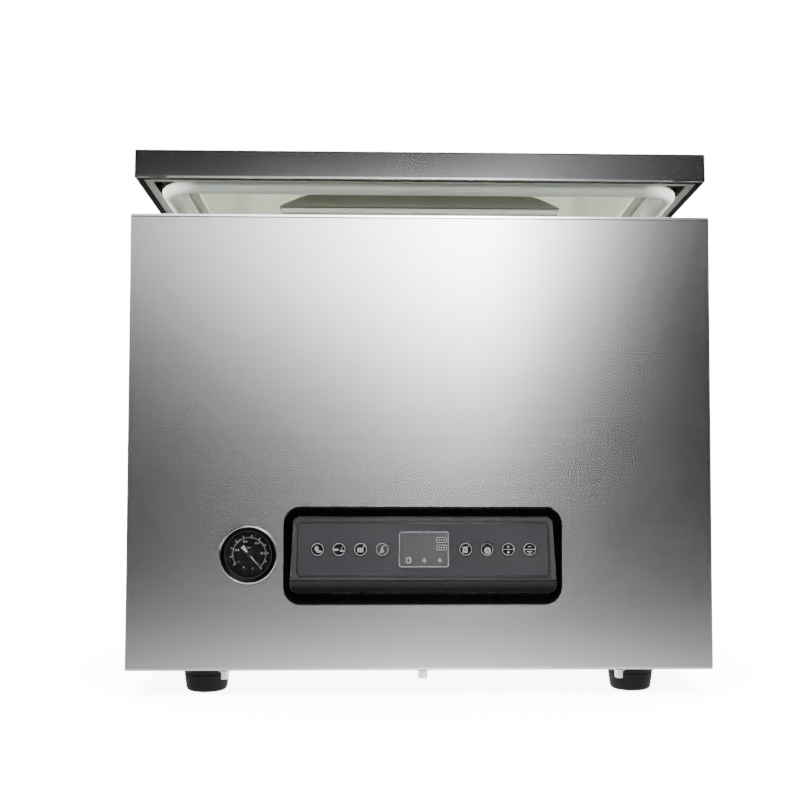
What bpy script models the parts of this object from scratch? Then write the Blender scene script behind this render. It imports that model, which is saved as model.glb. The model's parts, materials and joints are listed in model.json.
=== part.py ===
"""Chamber vacuum packing machine, tabletop size, built as an assembly of its real pieces.

Metres, +Z up, +X to the right of someone standing in front, the front face towards -Y.
The origin is on the floor, under the middle of the machine.
"""
import math

import bmesh
import bpy
from mathutils import Matrix, Vector

# ---- driving dimensions -------------------------------------------------------------------
GAP = 0.0003            # air between pieces that touch
SHEET = 0.0015          # stainless sheet
BEND = 0.003            # outer radius of a folded edge
FLANGE = 0.015          # folded edge of the cabinet panels

BODY_W = 0.560
BODY_D = 0.480
BODY_H = 0.437
FOOT_H = 0.0245
FRONT_Y = -0.234
REAR_Y = FRONT_Y + BODY_D
TOP_Z = FOOT_H + BODY_H
HALF_W = BODY_W / 2

FOOT_X = 0.208
FOOT_R = 0.0233
FOOT_INSET = 0.042
BOLT_SPACING = 0.189
BOLT_X = 0.002
PAN_LIP = 0.020

CHAMBER_W = 0.440
CHAMBER_D = 0.380
CHAMBER_H = 0.110
CHAMBER_R = 0.040
CHAMBER_Y = 0.001
TUB_RIM = 0.012
TUB_RIM_Z = TOP_Z - SHEET - GAP
TUB_FLOOR_Z = TUB_RIM_Z - CHAMBER_H

LID_W = 0.556
LID_D = 0.445
LID_H = 0.028
LID_LIFT = 0.009        # lid band above the deck when the gasket just touches it
LID_Y = FRONT_Y + 0.001 + LID_D / 2
LID_Z = TOP_Z + LID_LIFT
LID_REST_ANGLE = math.radians(3.2)
LID_TOP_FLANGE = 0.045
LID_BOTTOM_FLANGE = 0.016
WINDOW_T = 0.012
WINDOW_Z = LID_Z + LID_H - SHEET - GAP - WINDOW_T
GASKET_INSET = 0.018
GASKET_W = 0.017
GASKET_R = 0.040

HINGE_Y = LID_Y + LID_D / 2 + 0.020
HINGE_Z = TOP_Z + 0.018
SHAFT_R = 0.006
BRACKET_X = 0.200
ARM_X = 0.150
SPRING_X = 0.1785
SPRING_TURNS = 5
SPRING_PITCH = 0.0037
SPRING_R = 0.0086
SPRING_WIRE_R = 0.0012

SEAL_L = 0.290
SEAL_Y = CHAMBER_Y - CHAMBER_D / 2 + 0.024
SEAL_W = 0.020
SEAL_H = 0.032
SEAL_TOP_Z = TOP_Z - 0.0235
HOLDER_DROP = 0.0037     # counter bar holder's lower edge below the deck, lid closed
STRIP_H = 0.006
LIFT_X = 0.110
ROD_R = 0.004
CYLINDER_R = 0.012
CYLINDER_H = 0.050

PANEL_X = 0.0018
PANEL_Z = FOOT_H + 0.1091
BEZEL_SIZE = (0.2657, 0.0932)
FASCIA_SIZE = (0.2515, 0.0740)
FASCIA_RISE = 0.0016    # fascia centre above the bezel centre
SLOPE_TOP = Vector((-0.0035, 0.0386))      # y from the front face, z from the panel centre
SLOPE_BOTTOM = Vector((-0.0155, -0.0220))
KEY_ROW_Z = 0.0064
MEMBRANE_SIZE = (0.2396, 0.0518)
DISPLAY_X = 0.0005
DISPLAY_SIZE = (0.0483, 0.0346)
KEY_R = 0.0067
KEYS = (
    ("key_vacuum", -0.1001), ("key_soft_air", -0.0798), ("key_gas", -0.0594), ("key_seal", -0.0390),
    ("key_program", 0.0402), ("key_stop", 0.0606), ("key_plus", 0.0807), ("key_minus", 0.1011),
)

GAUGE_X = -0.1635
GAUGE_Z = FOOT_H + 0.1104
GAUGE_R = 0.0274
GAUGE_ZERO = math.radians(140.0)           # needle at rest, clockwise from straight up

INLET_X = 0.190
INLET_Z = 0.075
INLET_SIZE = (0.048, 0.058)
ROCKER_TILT = math.radians(10.0)


# ---- materials ----------------------------------------------------------------------------
def make_material(name, color, roughness, metallic, alpha=1.0):
    material = bpy.data.materials.new(name)
    material.use_nodes = True
    shader = material.node_tree.nodes["Principled BSDF"]
    shader.inputs["Base Color"].default_value = (*color, 1.0)
    shader.inputs["Roughness"].default_value = roughness
    shader.inputs["Metallic"].default_value = metallic
    shader.inputs["Alpha"].default_value = alpha
    return material


def make_materials():
    return {
        "steel": make_material("satin_stainless", (0.62, 0.63, 0.61), 0.32, 1.0),
        "dark_steel": make_material("polished_stainless", (0.20, 0.20, 0.21), 0.18, 1.0),
        "chrome": make_material("chrome", (0.80, 0.80, 0.80), 0.08, 1.0),
        "rubber": make_material("black_rubber", (0.02, 0.02, 0.02), 0.70, 0.0),
        "silicone": make_material("white_silicone", (0.82, 0.84, 0.80), 0.50, 0.0),
        "acrylic": make_material("clear_acrylic", (0.80, 0.80, 0.70), 0.05, 0.0, 0.35),
        "holder": make_material("olive_holder", (0.10, 0.10, 0.07), 0.45, 0.0),
        "black": make_material("black_plastic", (0.015, 0.015, 0.016), 0.30, 0.0),
        "grey": make_material("grey_fascia", (0.10, 0.11, 0.12), 0.45, 0.0),
        "key": make_material("key_film", (0.09, 0.10, 0.11), 0.40, 0.0),
        "glass": make_material("display_glass", (0.05, 0.06, 0.06), 0.10, 0.0),
        "lens": make_material("gauge_glass", (0.80, 0.85, 0.85), 0.03, 0.0, 0.30),
        "dial": make_material("dial_face", (0.02, 0.02, 0.02), 0.50, 0.0),
        "needle": make_material("needle_white", (0.85, 0.85, 0.85), 0.40, 0.0),
        "board": make_material("circuit_board", (0.02, 0.12, 0.05), 0.45, 0.0),
        "pump": make_material("pump_casting", (0.25, 0.27, 0.30), 0.50, 0.3),
        "motor": make_material("motor_casting", (0.12, 0.14, 0.18), 0.50, 0.3),
        "filter": make_material("filter_shell", (0.35, 0.35, 0.36), 0.40, 0.8),
        "copper": make_material("transformer_winding", (0.35, 0.16, 0.06), 0.40, 0.6),
        "brass": make_material("valve_brass", (0.55, 0.42, 0.18), 0.30, 1.0),
        "polyethylene": make_material("white_polyethylene", (0.85, 0.86, 0.84), 0.45, 0.0),
        "wire": make_material("heating_wire", (0.45, 0.44, 0.42), 0.30, 1.0),
        "ptfe": make_material("ptfe_tape", (0.42, 0.30, 0.16), 0.55, 0.0),
        "spring": make_material("spring_steel", (0.30, 0.30, 0.31), 0.25, 1.0),
    }


# ---- modelling helpers --------------------------------------------------------------------
def link_mesh(name, bm, material):
    """One smooth-shaded object from a bmesh, faces outward, edges over 35 degrees kept sharp."""
    bmesh.ops.recalc_face_normals(bm, faces=bm.faces)
    mesh = bpy.data.meshes.new(name)
    bm.to_mesh(mesh)
    bm.free()
    mesh.materials.append(material)
    obj = bpy.data.objects.new(name, mesh)
    bpy.context.collection.objects.link(obj)
    smooth(obj)
    return obj


def smooth(obj):
    obj.data.shade_smooth()
    obj.data.set_sharp_from_angle(angle=math.radians(35))


def loft(name, loops, material, ring=False):
    """Skin through loops of equal length: a tube with flat end caps, or a closed ring."""
    bm = bmesh.new()
    rows = [[bm.verts.new(point) for point in loop] for loop in loops]
    pairs = list(zip(rows, rows[1:]))
    if ring:
        pairs.append((rows[-1], rows[0]))
    else:
        bm.faces.new(rows[0])
        bm.faces.new(rows[-1])
    count = len(rows[0])
    for low, high in pairs:
        for i in range(count):
            j = (i + 1) % count
            bm.faces.new((low[i], low[j], high[j], high[i]))
    return link_mesh(name, bm, material)


def rounded_rect(width, depth, radius, height, centre=(0.0, 0.0), steps=4):
    """Counter-clockwise loop in a plane of constant z."""
    points = []
    for quarter, (sx, sy) in enumerate(((1, 1), (-1, 1), (-1, -1), (1, -1))):
        cx = centre[0] + sx * (width / 2 - radius)
        cy = centre[1] + sy * (depth / 2 - radius)
        for step in range(steps + 1):
            angle = math.pi / 2 * (quarter + step / steps)
            points.append(Vector((cx + radius * math.cos(angle), cy + radius * math.sin(angle), height)))
    return points


def circle(radius, height, segments=24):
    turn = 2 * math.pi / segments
    return [Vector((radius * math.cos(turn * i), radius * math.sin(turn * i), height))
            for i in range(segments)]


def turned(name, profile, material, place=Matrix(), segments=24, ring=False):
    """Solid of revolution about the local z axis: profile is (radius, height) pairs."""
    loops = [[place @ point for point in circle(r, h, segments)] for r, h in profile]
    return loft(name, loops, material, ring)


def stack(name, levels, material, centre=(0.0, 0.0), place=Matrix(), ring=False, steps=4):
    """Skin through rounded rectangles: levels are (width, depth, corner radius, height)."""
    loops = [[place @ p for p in rounded_rect(w, d, r, h, centre, steps)] for w, d, r, h in levels]
    return loft(name, loops, material, ring)


def boxes(name, pairs, material):
    """Boxes that don't touch, in one mesh: pairs are (lowest corner, highest corner)."""
    bm = bmesh.new()
    for low, high in pairs:
        size = Vector(high) - Vector(low)
        middle = (Vector(high) + Vector(low)) / 2
        place = Matrix.Translation(middle) @ Matrix.Diagonal((*size, 1.0))
        bmesh.ops.create_cube(bm, size=1.0, matrix=place)
    return link_mesh(name, bm, material)


def box(name, low, high, material):
    return boxes(name, [(low, high)], material)


def prism(name, outline, axis, start, end, material):
    """Outline extruded along X (outline in y, z) or Y (outline in x, z)."""
    if axis == "X":
        loops = [[Vector((at, u, v)) for u, v in outline] for at in (start, end)]
    else:
        loops = [[Vector((u, at, v)) for u, v in outline] for at in (start, end)]
    return loft(name, loops, material)


def folded_outline(corners, side, steps=4):
    """Section of a sheet folded at right angles: corners of its outer face, side = +1 or -1 for
    the side that its thickness lies on."""
    points = [Vector(c) for c in corners]
    runs = [(b - a).normalized() for a, b in zip(points, points[1:])]
    normals = [Vector((-run.y, run.x)) * side for run in runs]
    outer = [points[0]]
    inner = [points[0] + normals[0] * SHEET]
    for corner, run, before, after in zip(points[1:], runs, normals, normals[1:]):
        centre = corner - run * BEND + before * BEND
        for step in range(steps + 1):
            angle = math.pi / 2 * step / steps
            out = -before * math.cos(angle) - after * math.sin(angle)
            outer.append(centre + out * BEND)
            inner.append(centre + out * (BEND - SHEET))
    outer.append(points[-1])
    inner.append(points[-1] + normals[-1] * SHEET)
    return [tuple(p) for p in outer + inner[::-1]]


def combine(obj, tool, operation):
    """Boolean of obj with tool, applied; the tool is used up."""
    modifier = obj.modifiers.new("shape", "BOOLEAN")
    modifier.operation = operation
    modifier.solver = "EXACT"
    modifier.object = tool
    depsgraph = bpy.context.evaluated_depsgraph_get()
    mesh = bpy.data.meshes.new_from_object(obj.evaluated_get(depsgraph))
    obj.modifiers.clear()
    mesh.materials.clear()
    mesh.materials.append(obj.data.materials[0])
    obj.data = mesh
    bpy.data.objects.remove(tool)
    smooth(obj)
    return obj


def bore(radius, low, high, axis, centre, material, segments=24):
    """Cylinder for cutting or joining, along an axis through centre, from low to high on that axis."""
    turn = {"X": Matrix.Rotation(math.pi / 2, 4, "Y"), "Y": Matrix.Rotation(-math.pi / 2, 4, "X"),
            "Z": Matrix()}[axis]
    place = Matrix.Translation(centre) @ turn
    return turned("tool", ((radius, low), (radius, high)), material, place, segments)


def tube(name, points, radius, material, sides=3):
    """Round wire or hose along a list of points, ends closed."""
    curve = bpy.data.curves.new(name, "CURVE")
    curve.dimensions = "3D"
    curve.bevel_depth = radius
    curve.bevel_resolution = sides
    curve.use_fill_caps = True
    spline = curve.splines.new("POLY")
    spline.points.add(len(points) - 1)
    for slot, point in zip(spline.points, points):
        slot.co = (*point, 1.0)
    spline.use_smooth = True
    curve.materials.append(material)
    obj = bpy.data.objects.new(name, curve)
    bpy.context.collection.objects.link(obj)
    return obj


def smooth_path(knots, spacing_count):
    """Catmull-Rom curve through the knots, with spacing_count points on each stretch."""
    knots = [Vector(k) for k in knots]
    ends = [knots[0] * 2 - knots[1], *knots, knots[-1] * 2 - knots[-2]]
    points = []
    for a, b, c, d in zip(ends, ends[1:], ends[2:], ends[3:]):
        for step in range(spacing_count):
            t = step / spacing_count
            points.append(0.5 * (2 * b + (c - a) * t + (2 * a - 5 * b + 4 * c - d) * t ** 2
                                 + (3 * b - a - 3 * c + d) * t ** 3))
    points.append(knots[-1])
    return points


def make_pivot(name, location):
    pivot = bpy.data.objects.new(name, None)
    pivot.location = location
    bpy.context.collection.objects.link(pivot)
    return pivot


def hang_on(pivot, parts):
    for part in parts:
        part.parent = pivot
        part.matrix_parent_inverse = Matrix.Translation(-pivot.location)


# ---- cabinet ------------------------------------------------------------------------------
def make_front_panel(mat):
    outline = folded_outline(((FRONT_Y + FLANGE, FOOT_H), (FRONT_Y, FOOT_H), (FRONT_Y, TOP_Z),
                              (FRONT_Y + FLANGE, TOP_Z)), side=-1)
    panel = prism("front_panel", outline, "X", -HALF_W, HALF_W, mat["steel"])
    place = Matrix.Translation((PANEL_X, FRONT_Y, PANEL_Z)) @ Matrix.Rotation(-math.pi / 2, 4, "X")
    width, height = FASCIA_SIZE[0] - 0.016, FASCIA_SIZE[1] - 0.014
    combine(panel, stack("tool", ((width, height, 0.005, -0.005), (width, height, 0.005, 0.005)),
                         mat["steel"], place=place), "DIFFERENCE")
    centre = (GAUGE_X, FRONT_Y, GAUGE_Z)
    combine(panel, bore(GAUGE_R - 0.0015, -0.005, 0.005, "Y", centre, mat["steel"]), "DIFFERENCE")
    return panel


def make_side_panel(name, side, mat):
    x_out = side * HALF_W
    x_in = side * (HALF_W - FLANGE)
    outline = folded_outline(((x_in, FOOT_H), (x_out, FOOT_H), (x_out, TOP_Z), (x_in, TOP_Z)), side=side)
    inset = SHEET + GAP
    panel = prism(name, outline, "Y", FRONT_Y + inset, REAR_Y - inset, mat["steel"])
    reach = FLANGE + GAP
    x_range = sorted((side * (HALF_W - 2 * FLANGE), side * (HALF_W + 0.01)))
    notches = []
    for y_low, y_high in ((FRONT_Y - 0.01, FRONT_Y + reach), (REAR_Y - reach, REAR_Y + 0.01)):
        for z_low, z_high in ((0.0, FOOT_H + BEND), (TOP_Z - BEND, TOP_Z + 0.01)):
            notches.append(((x_range[0], y_low, z_low), (x_range[1], y_high, z_high)))
    return combine(panel, boxes("tool", notches, mat["steel"]), "DIFFERENCE")


def make_rear_cover(mat):
    outline = folded_outline(((REAR_Y - FLANGE, FOOT_H), (REAR_Y, FOOT_H), (REAR_Y, TOP_Z),
                              (REAR_Y - FLANGE, TOP_Z)), side=1)
    cover = prism("rear_cover", outline, "X", -HALF_W, HALF_W, mat["steel"])
    slots = []
    slot_w, slot_h, pitch_x, pitch_z = 0.050, 0.005, 0.062, 0.013
    for column in range(4):
        for row in range(7):
            x = -0.205 + column * pitch_x
            z = 0.060 + row * pitch_z
            slots.append(((x, REAR_Y - 0.005, z), (x + slot_w, REAR_Y + 0.005, z + slot_h)))
    width, height = INLET_SIZE
    slots.append(((INLET_X - width / 2, REAR_Y - 0.005, INLET_Z - height / 2),
                  (INLET_X + width / 2, REAR_Y + 0.005, INLET_Z + height / 2)))
    return combine(cover, boxes("tool", slots, mat["steel"]), "DIFFERENCE")


def make_base_pan(mat):
    low = FOOT_H + SHEET + GAP
    width = BODY_W - 2 * (SHEET + GAP)
    depth = BODY_D - 2 * (SHEET + GAP)
    wall = 2 * SHEET
    levels = (
        (width - BEND, depth - BEND, 0.002, low), (width, depth, 0.002, low + BEND / 2),
        (width, depth, 0.002, low + PAN_LIP), (width - wall, depth - wall, 0.002, low + PAN_LIP),
        (width - wall, depth - wall, 0.002, low + SHEET),
    )
    pan = stack("base_pan", levels, mat["steel"], centre=(0.0, (FRONT_Y + REAR_Y) / 2), steps=1)
    slots = []
    for side in (-1, 1):
        for row in range(5):
            y = -0.060 + row * 0.030
            x = side * 0.150
            slots.append(((x - 0.040, y, low - 0.01), (x + 0.040, y + 0.008, low + 0.01)))
    return combine(pan, boxes("tool", slots, mat["steel"]), "DIFFERENCE")


def make_top_deck(mat):
    reach = FLANGE + GAP
    width = BODY_W - 2 * reach
    depth = BODY_D - 2 * reach
    middle = (FRONT_Y + REAR_Y) / 2
    levels = []
    for w, d, r, centre_y, z in (
            (width, depth, 0.001, middle, TOP_Z - SHEET),
            (width, depth, 0.001, middle, TOP_Z),
            (CHAMBER_W, CHAMBER_D, CHAMBER_R, CHAMBER_Y, TOP_Z),
            (CHAMBER_W, CHAMBER_D, CHAMBER_R, CHAMBER_Y, TOP_Z - SHEET)):
        levels.append(rounded_rect(w, d, r, z, (0.0, centre_y), steps=6))
    return loft("top_deck", levels, mat["steel"], ring=True)


def make_chamber_tub(mat):
    """Deep-drawn tub hung from its rim under the deck."""
    wall = 2 * SHEET
    rim = 2 * TUB_RIM
    fillet = 0.010
    floor = TUB_FLOOR_Z
    levels = (
        (CHAMBER_W - fillet, CHAMBER_D - fillet, CHAMBER_R - fillet / 2, floor - SHEET),
        (CHAMBER_W + wall, CHAMBER_D + wall, CHAMBER_R + SHEET, floor + fillet / 2),
        (CHAMBER_W + wall, CHAMBER_D + wall, CHAMBER_R + SHEET, TUB_RIM_Z - SHEET),
        (CHAMBER_W + rim, CHAMBER_D + rim, CHAMBER_R + TUB_RIM, TUB_RIM_Z - SHEET),
        (CHAMBER_W + rim, CHAMBER_D + rim, CHAMBER_R + TUB_RIM, TUB_RIM_Z),
        (CHAMBER_W, CHAMBER_D, CHAMBER_R, TUB_RIM_Z),
        (CHAMBER_W, CHAMBER_D, CHAMBER_R, floor + fillet),
        (CHAMBER_W - fillet, CHAMBER_D - fillet, CHAMBER_R - fillet / 2, floor),
    )
    return stack("chamber_tub", levels, mat["steel"], centre=(0.0, CHAMBER_Y), steps=6)


def make_feet(mat):
    """Tapered rubber feet, each with a short neck that bolts to the base pan."""
    sole_r = FOOT_R - 0.0068
    neck_r = 0.006
    profile = ((sole_r, 0.0), (sole_r + 0.0020, 0.0015), (sole_r + 0.0032, 0.0045),
               (FOOT_R, FOOT_H - 0.003), (FOOT_R - 0.0012, FOOT_H - GAP), (neck_r, FOOT_H - GAP),
               (neck_r, FOOT_H + SHEET))
    for side_name, x in (("left", -FOOT_X), ("right", FOOT_X)):
        for end_name, y in (("front", FRONT_Y + FOOT_INSET), ("rear", REAR_Y - FOOT_INSET)):
            place = Matrix.Translation((x, y, 0.0))
            turned(f"foot_{end_name}_{side_name}", profile, mat["rubber"], place)


def make_front_bolts(mat):
    """Bolt heads that hold the front panel's lower flange."""
    head_r, head_h = 0.0046, 0.008
    top = FOOT_H - GAP
    profile = ((head_r - 0.0015, top - head_h), (head_r, top - head_h + 0.0015), (head_r, top - 0.0012),
               (head_r + 0.0008, top - 0.0010), (head_r + 0.0008, top))
    for index, name in enumerate(("left", "centre", "right")):
        place = Matrix.Translation((BOLT_X + (index - 1) * BOLT_SPACING, FRONT_Y + FLANGE / 2, 0.0))
        turned(f"front_bolt_{name}", profile, mat["chrome"], place, segments=16)


# ---- chamber ------------------------------------------------------------------------------
def make_filler_plate(mat):
    back = CHAMBER_Y + CHAMBER_D / 2 - 0.008
    front = SEAL_Y + SEAL_W / 2 + 0.012
    width, depth = CHAMBER_W - 0.016, back - front
    low = TUB_FLOOR_Z + GAP
    levels = ((width, depth, 0.030, low), (width, depth, 0.030, low + 0.013),
              (width - 0.004, depth - 0.004, 0.028, low + 0.015))
    return stack("filler_plate", levels, mat["polyethylene"], centre=(0.0, (front + back) / 2))


def make_seal_bar(mat):
    """Sealing beam with its wire and cover, on two rods that run in the lift cylinders."""
    low = SEAL_TOP_Z - SEAL_H
    half = SEAL_L / 2
    y_low, y_high = SEAL_Y - SEAL_W / 2, SEAL_Y + SEAL_W / 2
    lip = 0.003
    outline = ((y_low, low), (y_high, low), (y_high, SEAL_TOP_Z - lip), (y_high - lip, SEAL_TOP_Z),
               (y_low + lip, SEAL_TOP_Z), (y_low, SEAL_TOP_Z - lip))
    bar = prism("seal_bar", outline, "X", -half, half, mat["steel"])
    wire_w, wire_t = 0.004, 0.0006
    wire_z = SEAL_TOP_Z + GAP
    wire = box("heating_wire", (-half + 0.004, SEAL_Y - wire_w / 2, wire_z),
               (half - 0.004, SEAL_Y + wire_w / 2, wire_z + wire_t), mat["wire"])
    cover_z = wire_z + wire_t + GAP
    cover = box("ptfe_cover", (-half + 0.002, SEAL_Y - 0.0065, cover_z),
                (half - 0.002, SEAL_Y + 0.0065, cover_z + 0.0004), mat["ptfe"])
    parts = [bar, wire, cover]
    for name, x in (("left", -LIFT_X), ("right", LIFT_X)):
        floor = TUB_FLOOR_Z + GAP
        place = Matrix.Translation((x, SEAL_Y, 0.0))
        parts.append(turned(f"lift_rod_{name}", ((ROD_R, floor + 0.010), (ROD_R, low - GAP)), mat["chrome"],
                            place, segments=16))
        base_r = CYLINDER_R + 0.004
        rim_r = CYLINDER_R - 0.001
        mouth_r = ROD_R + 0.0004
        top = floor + CYLINDER_H
        turned(f"lift_cylinder_{name}",
               ((base_r, floor), (base_r, floor + 0.003), (CYLINDER_R, floor + 0.003),
                (CYLINDER_R, top - 0.001), (rim_r, top), (mouth_r, top), (mouth_r, floor + 0.005)),
               mat["chrome"], place, segments=20)
    pivot = make_pivot("seal_bar_lift", (0.0, SEAL_Y, low))
    hang_on(pivot, parts)


# ---- lid ----------------------------------------------------------------------------------
def make_lid_frame(mat):
    """Folded channel mitred round the lid: top flange, outer band, inward bottom flange."""
    low, high = LID_Z, LID_Z + LID_H
    edge = 0.0012
    levels = []
    for inset, z in ((edge, low), (0.0, low + edge), (0.0, high - edge), (edge, high),
                     (LID_TOP_FLANGE, high), (LID_TOP_FLANGE, high - SHEET), (SHEET, high - SHEET),
                     (SHEET, low + SHEET), (LID_BOTTOM_FLANGE, low + SHEET), (LID_BOTTOM_FLANGE, low)):
        levels.append((LID_W - 2 * inset, LID_D - 2 * inset, 0.0025, z))
    return stack("lid_frame", levels, mat["dark_steel"], centre=(0.0, LID_Y), ring=True, steps=2)


def make_lid_window(mat):
    inset = 2 * (SHEET + GAP)
    width, depth = LID_W - inset, LID_D - inset
    levels = ((width, depth, 0.003, WINDOW_Z), (width, depth, 0.003, WINDOW_Z + WINDOW_T))
    return stack("lid_window", levels, mat["acrylic"], centre=(0.0, LID_Y), steps=2)


def make_lid_gasket(mat):
    high = WINDOW_Z - GAP
    low = TOP_Z + GAP
    sections = ((0.0, high), (0.0, low + 0.0035), (0.0035, low), (GASKET_W - 0.0035, low),
                (GASKET_W, low + 0.0035), (GASKET_W, high))
    levels = []
    for inset, z in sections:
        total = 2 * (GASKET_INSET + inset)
        levels.append((LID_W - total, LID_D - total, GASKET_R - inset, z))
    return stack("lid_gasket", levels, mat["silicone"], centre=(0.0, LID_Y), ring=True, steps=8)


def make_counter_bar(mat):
    """Bar in the lid that the seal bar presses against: a holder with tapered ends and a strip."""
    high = WINDOW_Z - GAP
    mid = TOP_Z - HOLDER_DROP
    low = mid - STRIP_H
    slant = 0.013
    top_half, bottom_half = 0.112, 0.143
    outline = ((-bottom_half, mid), (bottom_half, mid), (bottom_half - 0.005, mid + 0.003),
               (top_half + 0.010, mid + slant - 0.003), (top_half, mid + slant), (top_half, high),
               (-top_half, high), (-top_half, mid + slant), (-top_half - 0.010, mid + slant - 0.003),
               (-bottom_half + 0.005, mid + 0.003))
    holder = prism("counter_bar_holder", outline, "Y", SEAL_Y - 0.009, SEAL_Y + 0.009, mat["holder"])
    half = SEAL_L / 2 - 0.004
    strip = box("counter_bar_rubber", (-half, SEAL_Y - 0.007, low), (half, SEAL_Y + 0.007, mid - GAP),
                mat["silicone"])
    return [holder, strip]


def make_hinge(mat):
    """Shaft and arms that turn with the lid; brackets and springs that stay on the deck."""
    axis = (0.0, HINGE_Y, HINGE_Z)
    along_x = Matrix.Translation(axis) @ Matrix.Rotation(math.pi / 2, 4, "Y")
    reach = BRACKET_X + 0.016
    edge = 0.001
    profile = ((SHAFT_R - edge, -reach), (SHAFT_R, -reach + edge), (SHAFT_R, reach - edge),
               (SHAFT_R - edge, reach))
    shaft = turned("hinge_shaft", profile, mat["chrome"], along_x)
    moving = [shaft]
    arm_r = 0.0098
    for name, side in (("left", -1), ("right", 1)):
        outline = [(LID_Y + LID_D / 2 + GAP, HINGE_Z - arm_r), (HINGE_Y, HINGE_Z - arm_r)]
        for step in range(1, 9):
            angle = -math.pi / 2 + math.pi * step / 8
            outline.append((HINGE_Y + arm_r * math.cos(angle), HINGE_Z + arm_r * math.sin(angle)))
        outline.append((LID_Y + LID_D / 2 + GAP, HINGE_Z + arm_r))
        x = side * ARM_X
        arm = prism(f"hinge_arm_{name}", outline, "X", x - 0.015, x + 0.015, mat["steel"])
        combine(arm, bore(SHAFT_R + GAP, -0.3, 0.3, "X", axis, mat["steel"]), "DIFFERENCE")
        moving.append(arm)

        x = side * BRACKET_X
        low = TOP_Z + GAP
        half = 0.011
        outline = [(HINGE_Y - half - 0.003, low), (HINGE_Y + half, low), (HINGE_Y + half, HINGE_Z)]
        for step in range(1, 9):
            angle = math.pi * step / 8
            outline.append((HINGE_Y + half * math.cos(angle), HINGE_Z + half * math.sin(angle)))
        bracket = prism(f"hinge_bracket_{name}", outline, "X", x - 0.008, x + 0.008, mat["steel"])
        combine(bracket, bore(SHAFT_R + GAP, -0.3, 0.3, "X", axis, mat["steel"]), "DIFFERENCE")
        make_hinge_spring(f"hinge_spring_{name}", side, mat)
    return moving


def make_hinge_spring(name, side, mat):
    """Torsion spring round the shaft: one leg down on the deck, the other forward by the arm."""
    steps = 10
    start, finish = -math.pi / 2, math.radians(150)
    total = SPRING_TURNS * 2 * math.pi + finish - start - 2 * math.pi
    count = round(total / (2 * math.pi) * steps)
    length = SPRING_PITCH * total / (2 * math.pi)
    points = []
    for i in range(count + 1):
        angle = start + total * i / count
        x = SPRING_X - length / 2 + length * i / count
        points.append(Vector((side * x, HINGE_Y + SPRING_R * math.cos(angle),
                              HINGE_Z + SPRING_R * math.sin(angle))))
    arm_leg = points[0] + Vector((0.0, -0.017, 0.0))
    deck_leg = points[-1] + Vector((0.0, -math.sin(finish), math.cos(finish))) * 0.0215
    return tube(name, [arm_leg, *points, deck_leg], SPRING_WIRE_R, mat["spring"], sides=1)


def make_lid(mat):
    parts = [make_lid_frame(mat), make_lid_window(mat), make_lid_gasket(mat), *make_counter_bar(mat),
             *make_hinge(mat)]
    pivot = make_pivot("lid_hinge", (0.0, HINGE_Y, HINGE_Z))
    hang_on(pivot, parts)
    pivot.rotation_euler = (-LID_REST_ANGLE, 0.0, 0.0)


# ---- control panel ------------------------------------------------------------------------
def slope_matrix():
    """Frame of the sloping key field: x along the panel, y up the slope, z out of it."""
    run = SLOPE_TOP - SLOPE_BOTTOM
    angle = math.atan2(run.x, run.y)
    share = (SLOPE_TOP.y - KEY_ROW_Z) / run.y
    y = FRONT_Y + SLOPE_TOP.x - run.x * share
    up = Vector((0.0, math.sin(angle), math.cos(angle)))
    out = Vector((0.0, -math.cos(angle), math.sin(angle)))
    matrix = Matrix((Vector((1.0, 0.0, 0.0)), up, out)).transposed().to_4x4()
    matrix.translation = (PANEL_X, y, PANEL_Z + KEY_ROW_Z)
    return matrix


def make_control_bezel(mat):
    place = Matrix.Translation((PANEL_X, FRONT_Y - GAP, PANEL_Z)) @ Matrix.Rotation(math.pi / 2, 4, "X")
    depth, edge = 0.0042, 0.0012
    outer, inner = BEZEL_SIZE, (FASCIA_SIZE[0] + 2 * GAP, FASCIA_SIZE[1] + 2 * GAP)
    rise = (0.0, FASCIA_RISE)
    loops = [
        rounded_rect(*outer, 0.017, 0.0, steps=5),
        rounded_rect(*outer, 0.017, depth - edge, steps=5),
        rounded_rect(outer[0] - 2 * edge, outer[1] - 2 * edge, 0.016, depth, steps=5),
        rounded_rect(inner[0] + 2 * edge, inner[1] + 2 * edge, 0.009, depth, rise, steps=5),
        rounded_rect(*inner, 0.008 + GAP, depth - edge, rise, steps=5),
        rounded_rect(*inner, 0.008 + GAP, 0.0, rise, steps=5),
    ]
    return loft("control_bezel", [[place @ p for p in loop] for loop in loops], mat["black"], ring=True)


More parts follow.
